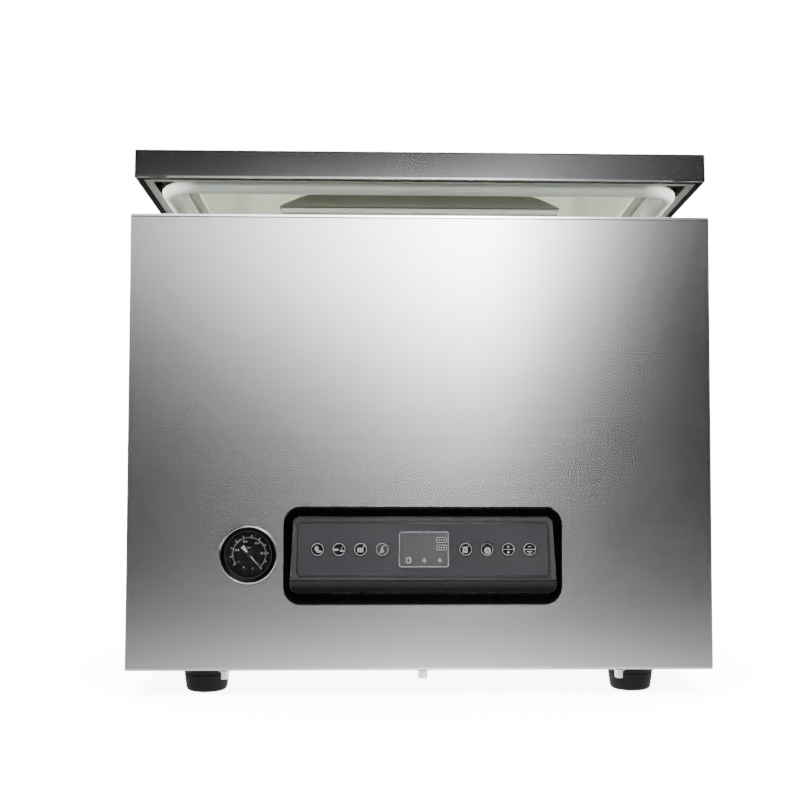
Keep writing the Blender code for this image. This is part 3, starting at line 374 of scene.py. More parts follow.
def link_mesh(name, bm, material, body, nodes=()):
    """One smooth-shaded piece on a CAD body, from a bmesh in the row frame."""
    bmesh.ops.recalc_face_normals(bm, faces=bm.faces)
    mesh = bpy.data.meshes.new(name)
    bm.to_mesh(mesh)
    bm.free()
    mesh.materials.append(M[material])
    mesh.shade_smooth()
    obj = bpy.data.objects.new(name, mesh)
    bpy.context.scene.collection.objects.link(obj)
    if body:
        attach(obj, body)
        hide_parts(*nodes)
    return obj


def skin(bm, loops, ring=False):
    """Skin through loops of equal length, into bm: a tube with flat end caps, or a closed ring."""
    rows = [[bm.verts.new(point) for point in loop] for loop in loops]
    pairs = list(zip(rows, rows[1:]))
    if ring:
        pairs.append((rows[-1], rows[0]))
    else:
        bm.faces.new(rows[0][::-1])
        bm.faces.new(rows[-1])
    count = len(rows[0])
    for low, high in pairs:
        for i in range(count):
            j = (i + 1) % count
            bm.faces.new((low[i], low[j], high[j], high[i]))


def solid(name, loops, material, body, nodes=(), ring=False):
    """Creased piece skinned through loops in the row frame."""
    bm = bmesh.new()
    skin(bm, loops, ring)
    return crease(link_mesh(name, bm, material, body, nodes))


def rounded_rect(width, depth, radius, height, centre=(0.0, 0.0), steps=8):
    """Counter-clockwise loop in a plane of constant z."""
    points = []
    for quarter, (sx, sy) in enumerate(((1, 1), (-1, 1), (-1, -1), (1, -1))):
        cx = centre[0] + sx * (width / 2 - radius)
        cy = centre[1] + sy * (depth / 2 - radius)
        for step in range(steps + 1):
            angle = pi / 2 * (quarter + step / steps)
            points.append(Vector((cx + radius * cos(angle), cy + radius * sin(angle), height)))
    return points


def circle(radius, height, segments):
    turn = 2 * pi / segments
    return [Vector((radius * cos(turn * i), radius * sin(turn * i), height))
            for i in range(segments)]


def hexagon(radius, height, segments):
    """Loop with as many points as the circle that it joins, on a hexagon of that corner radius."""
    points = []
    for i in range(segments):
        angle = 2 * pi * i / segments
        across = radius * cos(pi / 6) / cos(angle % (pi / 3) - pi / 6)
        points.append(Vector((across * cos(angle), across * sin(angle), height)))
    return points


def moved(place, loops):
    return [[place @ point for point in loop] for loop in loops]


def arc(centre, radius, start, end, steps):
    """Points of a section, (u, v), on an arc between two angles in degrees."""
    points = []
    for step in range(steps + 1):
        angle = radians(start + (end - start) * step / steps)
        points.append((centre[0] + radius * cos(angle), centre[1] + radius * sin(angle)))
    return points


def turned(name, profile, material, body, place=Matrix(), segments=64, ring=False, nodes=()):
    """Solid of revolution about the local z axis: profile is (radius, height) pairs."""
    loops = moved(place, [circle(r, h, segments) for r, h in profile])
    return flatten(solid(name, loops, material, body, nodes, ring))


def nested(section, outer, centre=(0.0, 0.0), steps=10, tightest=0.0004):
    """Loops of a section carried round a rounded rectangle: section is (inset, height) pairs,
    and outer is (width, depth, corner radius) at inset 0."""
    width, depth, radius = outer
    return [rounded_rect(width - 2 * inset, depth - 2 * inset, max(radius - inset, tightest), height,
                         centre, steps) for inset, height in section]


def on_lid(name, section, outer, material, nodes=(), ring=True, steps=6):
    """Section carried round the lid."""
    loops = moved(LID_PLACE, nested(section, outer, LID_CENTRE, steps))
    return flatten(solid(name, loops, material, "lid", nodes, ring))


def welded(node):
    """Mesh of a CAD node, with the points that its triangles share made one."""
    bm = bmesh.new()
    bm.from_mesh(frame["nodes"][node].data)
    bmesh.ops.remove_doubles(bm, verts=bm.verts, dist=WELD)
    return bm


def dressed(node, material, edge=0.0004, segments=2):
    """Finer copy of a CAD node: welded, its flat faces made whole and its edges softened."""
    bm = welded(node)
    bmesh.ops.dissolve_limit(bm, angle_limit=FLAT, verts=bm.verts, edges=bm.edges)
    body = frame["nodes"][node]["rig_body"]
    obj = crease(link_mesh(f"{node}_finished", bm, material, body, [node]))
    return soften(obj, edge, segments) if edge else flatten(obj)


def sweep(points, radius, sides):
    """Loops of a round wire along points, turned as little as possible from one to the next."""
    across = Z_AXIS.cross(points[1] - points[0])
    if across.length < WELD:
        across = X_AXIS.copy()
    across.normalize()
    loops = []
    for i, point in enumerate(points):
        along = (points[min(i + 1, len(points) - 1)] - points[max(i - 1, 0)]).normalized()
        across = (across - along * across.dot(along)).normalized()
        other = along.cross(across)
        loops.append([point + (across * cos(2 * pi * k / sides)
                               + other * sin(2 * pi * k / sides)) * radius for k in range(sides)])
    return loops


def cap_screws(name, places, radius, height, body):
    """Domed screws with a hexagon socket, all on one body: local z runs out of the head."""
    segments = 24
    bm = bmesh.new()
    for place in places:
        dome = [circle(radius * cos(a), height * (0.35 + 0.65 * sin(a)), segments)
                for a in (0.0, 0.35, 0.7, 1.0)]
        loops = [circle(radius * 0.97, 0.0, segments), *dome,
                 hexagon(radius * 0.46, height * 0.92, segments),
                 hexagon(radius * 0.42, height * 0.30, segments)]
        skin(bm, moved(place, loops))
    return crease(link_mesh(name, bm, "screw", body))


# ---- cabinet ------------------------------------------------------------------------------
LIP_H, LIP_OUT, LIP_IN = 0.0031, 0.0005, 0.0004         # bent edge of the deck over the front


def front_strip(name, y_low, z_low, z_high, end, material):
    """Bar along the top of the front panel, short of its ends."""
    loops = [[Vector((x, y_low, z_low)), Vector((x, FRONT_Y + LIP_IN, z_low)),
              Vector((x, FRONT_Y + LIP_IN, z_high)), Vector((x, y_low, z_high))]
             for x in (-HALF_W + end, HALF_W - end)]
    return solid(name, loops, material, "cabinet")


def make_cabinet():
    for node in ("front_panel", "left_side_panel", "right_side_panel", "rear_cover", "base_pan"):
        dressed(node, "wall", edge=0.0005)
    dressed("top_deck", "deck", edge=0.0005, segments=3)
    lip_z, shadow_gap_h = TOP_Z - LIP_H, 0.0007
    soften(front_strip("top_deck_front_lip", FRONT_Y - LIP_OUT, lip_z, TOP_Z - 0.0006, 0.0012,
                       "bright"), 0.0004)
    # dark strip under the deck's bent lip: painted shade for the shadow gap there
    front_strip("top_deck_shadow_gap", FRONT_Y - 0.0001, lip_z - shadow_gap_h, lip_z - 0.0001, 0.0014, "moulded")


def make_rear_screws():
    inset = 0.014
    spots = [(x, z) for x in (-HALF_W + inset, 0.0, HALF_W - inset)
             for z in (BODY_LOW_Z + inset, TOP_Z - inset)]
    spots += [(side * (HALF_W - inset), (BODY_LOW_Z + TOP_Z) / 2) for side in (-1, 1)]
    cap_screws("rear_cover_screws", [shift((x, REAR_Y, z)) @ TO_REAR for x, z in spots], 0.0040,
               0.0024, "cabinet")


def make_foot(node):
    """Tapered rubber foot with a rounded shoulder, a waist and a rounded sole."""
    low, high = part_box(node)
    radius = (high.x - low.x) / 2
    top, sole = BODY_LOW_Z - 0.0003, radius - 0.0068
    profile = [(0.0040, 0.0012), (sole - 0.004, 0.0010), (sole - 0.0022, 0.0)]
    profile += arc((sole - 0.0012, 0.0048), 0.0048, -80, -16, 8)
    profile += [(radius - 0.0016, top - 0.0076), (radius - 0.0021, top - 0.0070),
                (radius - 0.0014, top - 0.0064)]
    profile += arc((radius - 0.0016, top - 0.0018), 0.0016, -10, 88, 6)
    profile += [(0.006, top), (0.006, high.z)]
    place = shift(((low.x + high.x) / 2, (low.y + high.y) / 2, 0.0))
    turned(f"{node}_rubber", profile, "rubber", "cabinet", place, 72, nodes=[node])


def make_front_bolt(node):
    segments = 30
    low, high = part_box(node)
    radius, height = (high.x - low.x) / 2, high.z - low.z
    head = radius * 0.85
    loops = [circle(radius, 0.0, segments), circle(radius, -0.0009, segments),
             circle(radius * 0.96, -0.0011, segments), hexagon(head, -0.0012, segments),
             hexagon(head, -height * 0.86, segments), circle(head * 0.80, -height, segments)]
    bm = bmesh.new()
    skin(bm, moved(shift(((low.x + high.x) / 2, (low.y + high.y) / 2, high.z)), loops))
    soften(link_mesh(f"{node}_hex", bm, "chrome", "cabinet", [node]), 0.0002)


# ---- chamber ------------------------------------------------------------------------------
def make_chamber():
    """Drawn tub with a rim, round corners and a round fillet where its walls meet the floor."""
    low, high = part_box("chamber_tub")
    wall, rim, corner, fillet = 0.0015, 0.012, 0.040, 0.012
    width, depth = high.x - low.x - 2 * rim, high.y - low.y - 2 * rim
    floor = low.z + wall
    bend = (0.0, floor + fillet)
    inside = [(-rim, high.z - wall), (-rim, high.z), (0.0, high.z)]
    inside += [(fillet - u, v) for u, v in arc(bend, fillet, 0, -90, 8)]
    outside = [(fillet - u - wall * 0.7, v - wall) for u, v in arc(bend, fillet, -90, 0, 8)]
    outside[-1] = (-wall, outside[-1][1])
    outside.append((-wall, high.z - wall))
    centre = (0.0, (low.y + high.y) / 2)
    loops = nested([*outside, *inside], (width, depth, corner), centre, 14, tightest=0.01)
    solid("chamber_tub_drawn", loops, "tub", "cabinet", ["chamber_tub"])

    port = shift((0.150, high.y - rim - 0.004, floor + 0.060)) @ TO_FRONT
    profile = [(0.002, 0.0), (0.017, 0.0), (0.017, 0.0022), (0.0155, 0.0034), (0.0135, 0.0034),
               (0.0125, 0.0022), (0.002, 0.0022)]
    turned("suction_port_rim", profile, "chrome", "cabinet", port, 48, ring=True)


def make_seal_bar():
    dressed("filler_plate", "white", edge=0.0012, segments=3)
    dressed("seal_bar", "bright", edge=0.0008, segments=3)
    dressed("heating_wire", "wire", edge=0.0001)
    dressed("ptfe_cover", "ptfe", edge=0.0001)
    for side in ("left", "right"):
        dressed(f"lift_rod_{side}", "chrome")
        dressed(f"lift_cylinder_{side}", "bright")


# ---- lid ----------------------------------------------------------------------------------
LID_SHEET = 0.0015
LID_OUTER = (LID_HIGH.x - LID_LOW.x, LID_HIGH.y - LID_LOW.y, 0.0030)
HEM_R, HEM_END = 0.0009, 0.247


def make_lid_frame():
    """Sheet folded over the edge of the lid, with a satin underside."""
    bend, top_flange, bottom_flange = 0.0020, 0.045, 0.016
    low, high = LID_LOW.z, LID_HIGH.z
    section = [(bottom_flange, low + LID_SHEET), (bottom_flange, low)]
    section += arc((bend, low + bend), bend, -90, -180, 9)
    section += arc((bend, high - bend), bend, 180, 90, 6)
    section += [(top_flange, high), (top_flange, high - LID_SHEET), (LID_SHEET, high - LID_SHEET),
                (LID_SHEET, low + LID_SHEET)]
    band = on_lid("lid_frame_folded", section, LID_OUTER, "lid", ["lid_frame"])
    band.data.materials.append(M["flange"])
    back = LID_PLACE.inverted()
    for polygon in band.data.polygons:
        down = -(back.to_3x3() @ polygon.normal).z
        if down > 0.95 and (back @ polygon.center).z < low + LID_SHEET:
            polygon.material_index = 1


def make_lid_edge():
    """Black strip under the edge of the lid, painted shade for the shadow gap behind its hem, and the
    bright hem along its front.
    """
    near, far, thick = 0.0024, 0.0082, 0.0004
    under, over = LID_LOW.z - thick, LID_LOW.z + thick
    section = [(near, under), (far, under), (far, over), (near, over)]
    # black strip in rubber: painted shade under the lid's edge
    on_lid("lid_edge_shadow_strip", section, LID_OUTER, "rubber")
    thick, bulge = HEM_R * 1.2, 0.010
    rows = [(-HEM_END, 0.0004), (-HEM_END + 0.0008, thick), (-HEM_END + bulge, thick),
            (-HEM_END + bulge * 1.5, HEM_R)]
    rows += [(-x, r) for x, r in reversed(rows)]
    place = LID_PLACE @ shift((0.0, LID_LOW.y + 0.0011, LID_LOW.z + 0.0011)) @ TO_RIGHT
    loops = moved(place, [circle(r, x, 16) for x, r in rows])
    solid("lid_hem_line", loops, "chrome", "lid")


def make_lid_window():
    low, high = node_box("lid_window", LID_PLACE)
    edge = 0.0006
    section = [(edge, low.z), (0.0, low.z + edge), (0.0, high.z - edge), (edge, high.z)]
    on_lid("lid_window_acrylic", section, (high.x - low.x, high.y - low.y, 0.003), "acrylic",
           ["lid_window"], ring=False)


def make_lid_gasket():
    """Silicone profile: a flange in the lid, a neck and a round bulb below."""
    low, high = node_box("lid_gasket", LID_PLACE)
    width, bulb, flange = 0.017, 0.0083, 0.0045
    middle, flange_z = width / 2, high.z - flange
    neck = flange_z - 0.0030
    section = [(0.0, high.z), (0.0, flange_z + 0.0008), (0.0008, flange_z), (0.0032, neck + 0.0010)]
    section += [(middle + bulb * cos(radians(a)), low.z + bulb * 0.92 * (1 + sin(radians(a))))
                for a in range(150, 391, 15)]
    section += [(width - 0.0032, neck + 0.0010), (width - 0.0008, flange_z),
                (width, flange_z + 0.0008), (width, high.z)]
    on_lid("lid_gasket_profile", section, (high.x - low.x, high.y - low.y, 0.040), "silicone",
           ["lid_gasket"], steps=16)


def make_counter_bar():
    dressed("counter_bar_holder", "holder", edge=0.0006, segments=3)
    dressed("counter_bar_rubber", "silicone", edge=0.0012, segments=3)


def make_lid_screws():
    margin = 0.022
    spots = []
    for i in range(6):
        x = LID_LOW.x + margin + (LID_HIGH.x - LID_LOW.x - 2 * margin) * i / 5
        spots += [(x, LID_LOW.y + margin), (x, LID_HIGH.y - margin)]
    for i in range(1, 4):
        y = LID_LOW.y + margin + (LID_HIGH.y - LID_LOW.y - 2 * margin) * i / 4
        spots += [(LID_LOW.x + margin, y), (LID_HIGH.x - margin, y)]
    cap_screws("lid_window_screws", [LID_PLACE @ shift((x, y, LID_HIGH.z)) for x, y in spots], 0.0044,
               0.0011, "lid")


def make_hinge():
    dressed("hinge_shaft", "chrome", edge=0.0003)
    for side in ("left", "right"):
        dressed(f"hinge_arm_{side}", "bright", edge=0.0010, segments=3)
        dressed(f"hinge_bracket_{side}", "wall", edge=0.0012, segments=3)
        make_hinge_spring(f"hinge_spring_{side}")


def make_hinge_spring(node):
    """Torsion spring: its coil twists between the arm of the lid and the deck."""
    low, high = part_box(node)
    sign = 1 if low.x > 0 else -1
    turns, coil_r, wire_r, pitch = 4, 0.0086, 0.0012, 0.0037
    start, finish = -pi / 2, radians(150)
    total = turns * 2 * pi + finish - start
    length = pitch * total / (2 * pi)
    first = (abs(low.x) + abs(high.x)) / 2 - length / 2
    count = round(total / (2 * pi) * 28)
    points = []
    for i in range(count + 1):
        angle = start + total * i / count
        points.append(Vector((sign * (first + length * i / count), HINGE.y + coil_r * cos(angle),
                              HINGE.z + coil_r * sin(angle))))
    arm_leg = [points[0] + Vector((0.0, -0.017 * t, 0.0)) for t in (1.0, 0.5)]
    run = Vector((0.0, -sin(finish), cos(finish)))
    deck_leg = [points[-1] + run * (0.0215 * t) for t in (0.5, 1.0)]
    loops = sweep([*arm_leg, *points, *deck_leg], wire_r, 12)
    obj = solid(f"{node}_coil", loops, "spring", None)
    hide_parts(node)
    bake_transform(obj)


# ---- printed marks ------------------------------------------------------------------------
def ellipse(cx, cy, rx, ry=None, count=28):
    ry = rx if ry is None else ry
    return [(cx + rx * cos(2 * pi * i / count), cy + ry * sin(2 * pi * i / count))
            for i in range(count)]


def bar(x0, y0, x1, y1, width):
    """Straight stroke between two points."""
    along = Vector((x1 - x0, y1 - y0)).normalized() * (width / 2)
    side = Vector((-along.y, along.x))
    return [(x0 + side.x, y0 + side.y), (x0 - side.x, y0 - side.y),
            (x1 - side.x, y1 - side.y), (x1 + side.x, y1 + side.y)]


def rect(x0, y0, x1, y1):
    return [(x0, y0), (x1, y0), (x1, y1), (x0, y1)]


def round_outline(width, height, radius, centre=(0.0, 0.0), steps=8):
    return [(p.x, p.y) for p in rounded_rect(width, height, radius, 0.0, centre, steps)]


def frame_line(width, height, radius, stroke, centre=(0.0, 0.0)):
    """Line of even stroke round a rectangle, as an (outer, inner) pair."""
    inner_r = max(radius - stroke, 0.0002)
    return (round_outline(width, height, radius, centre, 6),
            round_outline(width - 2 * stroke, height - 2 * stroke, inner_r, centre, 6))


def print_marks(name, place, body, shapes=(), lines=(), lift=0.0, material="ink"):
    """Thin printed marks in one piece: shapes are outlines, and lines are (outer, inner) pairs."""
    bm = bmesh.new()
    low, high = lift, lift + PRINT_T
    for shape in shapes:
        skin(bm, [[place @ Vector((x, y, z)) for x, y in shape] for z in (low, high)])
    for outer, inner in lines:
        skin(bm, [[place @ Vector((x, y, z)) for x, y in loop] for loop, z in
                  ((outer, low), (outer, high), (inner, high), (inner, low))], ring=True)
    return crease(link_mesh(name, bm, material, body))


def print_text(name, text, place, size):
    """Flat figures or letters on the dial, centred on the origin of place."""
    curve = bpy.data.curves.new(name, "FONT")
    curve.body = text
    curve.size = size
    curve.align_x = "CENTER"
    curve.align_y = "CENTER"
    curve.extrude = PRINT_T / 2
    source = bpy.data.objects.new(name, curve)
    bpy.context.scene.collection.objects.link(source)
    depsgraph = bpy.context.evaluated_depsgraph_get()
    mesh = bpy.data.meshes.new_from_object(source.evaluated_get(depsgraph))
    bpy.data.objects.remove(source)
    bm = bmesh.new()
    bm.from_mesh(mesh)
    bmesh.ops.remove_doubles(bm, verts=bm.verts, dist=WELD)
    bm.transform(place @ shift((0.0, 0.0, PRINT_T / 2)))
    return crease(link_mesh(name, bm, "ink", "cabinet"))


# ---- control panel ------------------------------------------------------------------------
KEY_ORDER = ("vacuum", "soft_air", "gas", "seal", "program", "stop", "plus", "minus")
OUT = -Vector(JOINTS["key_vacuum_press"]["axis"]).normalized()
UP = X_AXIS.cross(OUT) * -1.0
SLOPE_TURN = Matrix((X_AXIS, UP, OUT)).transposed().to_4x4()
KEY_TOP = -0.0002            # top of a key below the sloping face of the fascia
KEY_H = 0.0032
DISPLAY_TOP, DISPLAY_T = -0.0006, 0.0019
MEMBRANE_W, MEMBRANE_H, MEMBRANE_R = 0.2396, 0.0518, 0.004
MEMBRANE_DEPTH = 0.0008
SLOPE_RISE = 0.00018         # sloping face of the fascia above the plane of the key tops
CHIN_H = 0.0134              # height of the fascia under its sloping face
FILM, EDGE_HIGHLIGHT, CHIN, CREASE_SHADE = 1, 2, 3, 4       # material indices of the fascia

KEY_MARKS = {
    "vacuum": [ellipse(-0.0009, 0.0009, 0.0019, 0.0024), ellipse(0.0014, -0.0020, 0.0027, 0.0011)],
    "soft_air": [ellipse(-0.0026, -0.0002, 0.0026, 0.0011), ellipse(0.0027, -0.0013, 0.0021, 0.0010),
                 bar(0.0018, 0.0006, 0.0032, 0.0026, 0.0005)],
    "gas": [rect(-0.0030, -0.0028, -0.0013, 0.0016), rect(-0.0009, -0.0030, 0.0008, 0.0016),
            rect(0.0012, -0.0028, 0.0026, 0.0016), bar(0.0022, 0.0022, 0.0040, 0.0038, 0.0007)],
    "seal": [[(-0.0006, 0.0022), (0.0006, 0.0022), (0.0018, -0.0026), (-0.0026, -0.0038)],
             bar(-0.0002, 0.0026, 0.0030, 0.0040, 0.0008)],
    "program": [rect(-0.0030, -0.0034, 0.0018, 0.0026), bar(0.0024, 0.0026, 0.0030, 0.0034, 0.0009)],
    "stop": [ellipse(0.0004, -0.0012, 0.0033), bar(-0.0046, 0.0030, -0.0032, 0.0040, 0.0008)],
    "plus": [bar(-0.0057, 0.0, 0.0057, 0.0, 0.0006), bar(-0.0015, 0.0026, 0.0015, 0.0026, 0.0008),
             bar(0.0, 0.0013, 0.0, 0.0039, 0.0008), ellipse(0.0, -0.0028, 0.0011, 0.0014)],
    "minus": [bar(-0.0057, 0.0, 0.0057, 0.0, 0.0010), bar(-0.0016, 0.0026, 0.0016, 0.0026, 0.0009),
              bar(-0.0026, -0.0022, 0.0026, -0.0022, 0.0012),
              bar(-0.0014, -0.0040, 0.0014, -0.0040, 0.0009)],
}
KEY_CUTOUTS = {
    "program": [ellipse(-0.0006, -0.0004, 0.0008)],
    "stop": [[(0.0004, 0.0012), (0.0000, -0.0006), (0.0008, -0.0006)],
             bar(-0.0012, -0.0030, 0.0002, -0.0008, 0.0004),
             bar(0.0020, -0.0030, 0.0006, -0.0008, 0.0004)],
}


def middle_of(node):
    low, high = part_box(node)
    return (low + high) / 2


def make_key(key):
    """Round key with a printed ring and pictogram, on its own body."""
    node = f"key_{key}"
    body = f"{node}_button"
    place = shift(middle_of(node) + OUT * (KEY_H / 2 - KEY_TOP)) @ SLOPE_TURN
    low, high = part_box(node)
    radius = (high.x - low.x) / 2
    profile = [(radius, KEY_TOP - KEY_H), (radius, KEY_TOP - 0.0006)]
    profile += arc((radius - 0.0005, KEY_TOP - 0.0005), 0.0005, 0, 90, 5)
    profile += [(radius - 0.0014, KEY_TOP)]
    finish = "film" if key == "seal" else "key"
    turned(f"{node}_cap", profile, finish, body, place, 56, nodes=[node])
    ring = (ellipse(0, 0, radius - 0.0007, count=56), ellipse(0, 0, radius - 0.0014, count=56))
    print_marks(f"{node}_marks", place, body, KEY_MARKS[key], [ring], KEY_TOP)
    if key in KEY_CUTOUTS:
        print_marks(f"{node}_cutouts", place, body, KEY_CUTOUTS[key], (),
                    KEY_TOP + PRINT_T, "key")


def make_display():
    """Smoked window with a printed frame, two labels and three symbols."""
    low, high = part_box("display_window")
    width, height, edge = high.x - low.x, 0.0346, 0.0003
    place = shift((low + high) / 2 + OUT * (DISPLAY_T / 2 - DISPLAY_TOP)) @ SLOPE_TURN
    section = [(0.0, DISPLAY_TOP - DISPLAY_T), (0.0, DISPLAY_TOP - edge), (edge, DISPLAY_TOP)]
    loops = moved(place, nested(section, (width, height, 0.0027)))
    flatten(solid("display_window_glass", loops, "display", "cabinet",
                  ["display_window"]))

    label_x, label_w, label_h, dash = 0.0168, 0.0098, 0.0052, 0.0024
    lines = [frame_line(width - 0.0008, height - 0.0008, 0.0024, 0.0009)]
    shapes = []
    for y in (0.0090, 0.0018):
        lines.append(frame_line(label_w, label_h, 0.0010, 0.0005, (label_x, y)))
        for i in (-1, 0, 1):
            x = label_x + i * dash
            shapes.append(bar(x - 0.0007, y, x + 0.0007, y, 0.0012))
    icon_y = -0.0103
    lines.append(frame_line(0.0048, 0.0058, 0.0009, 0.0011, (-0.0146, icon_y)))
    for x, reach in ((0.0004, 0.0028), (0.0152, 0.0022)):
        shapes.append(ellipse(x, icon_y, 0.0014))
        for k in range(8):
            across, up = cos(pi / 4 * k), sin(pi / 4 * k)
            shapes.append(bar(x + 0.0016 * across, icon_y + 0.0016 * up,
                              x + reach * across, icon_y + reach * up, 0.0005))
    print_marks("display_marks", place, "cabinet", shapes, lines, DISPLAY_TOP)


def membrane_frame():
    """Frame on the sloping face, at the middle of the membrane."""
    key = middle_of("key_vacuum") + OUT * (KEY_H / 2 - KEY_TOP)
    along = (middle_of("display_window") - key).dot(UP)
    at = key + UP * along + OUT * SLOPE_RISE
    at.x = (FASCIA_LOW.x + FASCIA_HIGH.x) / 2
    return shift(at) @ SLOPE_TURN


def taper(point):
    """Draws the outline of the fascia in towards its top, as the sloping box narrows."""
    low, high = FASCIA_LOW, FASCIA_HIGH
    crease_z = low.z + CHIN_H
    rise = min(1.0, max(0.0, (point.z - crease_z) / (high.z - crease_z)))
    middle, half = (low.x + high.x) / 2, (high.x - low.x) / 2
    reach = point.x - middle
    if abs(reach) > MEMBRANE_W / 2 + 0.0012:
        point.x = middle + reach * (1.0 - 0.0024 * rise / half)
    if rise > 0.90:
        point.z -= 0.0018 * (rise - 0.90) / 0.10
    return point


def make_bezel():
    """Gloss frame round the fascia, with a round outer edge and a small inner lip."""
    low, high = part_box("control_bezel")
    centre = Vector(((low.x + high.x) / 2, FRONT_Y, (low.z + high.z) / 2))
    place = shift(centre) @ TO_FRONT
    depth, gap, edge, lip = FRONT_Y - low.y, 0.0003, 0.0014, 0.0007
    outer = (high.x - low.x, high.z - low.z, 0.017)
    hole = (FASCIA_HIGH.x - FASCIA_LOW.x + 2 * gap, FASCIA_HIGH.z - FASCIA_LOW.z + 2 * gap, 0.0083)
    rise = (FASCIA_LOW.z + FASCIA_HIGH.z) / 2 - centre.z
    outside = nested([(0.0, gap), *arc((edge, depth - edge), edge, 180, 90, 5)], outer, steps=14)
    inside = nested([*arc((-lip, depth - lip), lip, 90, 0, 4), (0.0, gap)], hole, (0.0, rise), 14)
    inside = [[taper(point) for point in loop] for loop in moved(place, inside)]
    solid("control_bezel_gloss", [*moved(place, outside), *inside], "black", "cabinet",
          ["control_bezel"], ring=True)


def make_fascia():
    """Grey wedge with soft outer edges and a recess that holds the membrane. Its rounded edges take a
    lighter plastic as a painted highlight. Its chin is painted darker towards the foot as shade. A
    dark band is painted along the crease below the membrane as shade, and no groove is cut there.
    """
    back = membrane_frame().inverted()
    bm = welded("control_fascia")

    def outside(vert):
        at = back @ vert.co
        return abs(at.x) > MEMBRANE_W / 2 + 0.001 or abs(at.y) > MEMBRANE_H / 2 + 0.001

    def outer(vert):
        return outside(vert) and vert.co.y < FRONT_Y - 0.0010

    verts = [v for v in bm.verts if outside(v)]
    edges = [e for e in bm.edges if outside(e.verts[0]) and outside(e.verts[1])]
    bmesh.ops.dissolve_limit(bm, angle_limit=FLAT, verts=verts, edges=edges)
    for vert in bm.verts:
        vert.co = taper(vert.co.copy())

    chin_top = FASCIA_LOW.z + CHIN_H
    # dark band along the crease below the membrane, in black key film: painted shade, no groove is
    # cut
    crease_shade_low, crease_shade_high = chin_top - 0.0010, chin_top - 0.0003
    for height in (crease_shade_low, crease_shade_high):
        bmesh.ops.bisect_plane(bm, geom=[*bm.verts, *bm.edges, *bm.faces], dist=WELD,
                               plane_co=(0.0, 0.0, height), plane_no=Z_AXIS)
    edges = [e for e in bm.edges if outer(e.verts[0]) and outer(e.verts[1])
             and e.calc_face_angle(0.0) > radians(30)]
    rounded = bmesh.ops.bevel(bm, geom=edges, offset=0.0009, segments=3, affect="EDGES",
                              profile=0.5, clamp_overlap=True)
    # the rounded outer edges take the lighter plastic: painted highlight
    for face in rounded["faces"]:
        face.material_index = EDGE_HIGHLIGHT
    obj = flatten(crease(link_mesh("control_fascia_moulded", bm, "fascia", "cabinet",
                                   ["control_fascia"])))
    for material in ("film", "fascia_edge_highlight", "chin", "key"):
        obj.data.materials.append(M[material])
    for polygon in obj.data.polygons:
        at, normal = polygon.center, polygon.normal
        if polygon.material_index == 0 and at.z < chin_top:
            if normal.y < -0.5:
                # the band along the crease is painted shade; the rest of the chin takes its painted
                # shade gradient
                polygon.material_index = CREASE_SHADE if crease_shade_low < at.z < crease_shade_high else CHIN
            # faces that turn from the slope to the chin: painted highlight
            elif normal.y < -0.2:
                polygon.material_index = EDGE_HIGHLIGHT
        if abs((back @ at).z + MEMBRANE_DEPTH) < 0.0002 and abs(normal.dot(OUT)) > 0.99:
            polygon.material_index = FILM
            polygon.use_smooth = False


def make_membrane_seam():
    seam, play = 0.0013, 0.0001
    outer = round_outline(MEMBRANE_W - play, MEMBRANE_H - play, MEMBRANE_R)
    inner = round_outline(MEMBRANE_W - 2 * seam, MEMBRANE_H - 2 * seam, MEMBRANE_R - seam)
    print_marks("membrane_seam", membrane_frame(), "cabinet",
                [], [(outer, inner)], -MEMBRANE_DEPTH, "black")


# ---- gauge --------------------------------------------------------------------------------
SCALE_R = 0.0154
SCALE_TURN = radians(JOINTS["gauge_needle_turn"]["range_deg"][1])
SCALE_ZERO = radians(140.0)             # clockwise from straight up
DIVISIONS, PER_DIVISION = 10, 5
GAUGE_LOW, GAUGE_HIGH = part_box("gauge_bezel")
GAUGE_PLACE = shift(((GAUGE_LOW.x + GAUGE_HIGH.x) / 2, FRONT_Y,
                     (GAUGE_LOW.z + GAUGE_HIGH.z) / 2)) @ TO_FRONT
GAUGE_R, GAUGE_DEPTH = (GAUGE_HIGH.x - GAUGE_LOW.x) / 2, FRONT_Y - GAUGE_LOW.y
CASE_R = GAUGE_R - 0.0018
WELL_R = CASE_R - 0.0014
DIAL_R = WELL_R - 0.0003
DIAL_FACE = GAUGE_PLACE @ shift((0.0, 0.0, 0.0010))


def gauge_part(name, profile, material, ring=False, nodes=()):
    return turned(name, profile, material, "cabinet", GAUGE_PLACE, 96, ring, nodes)


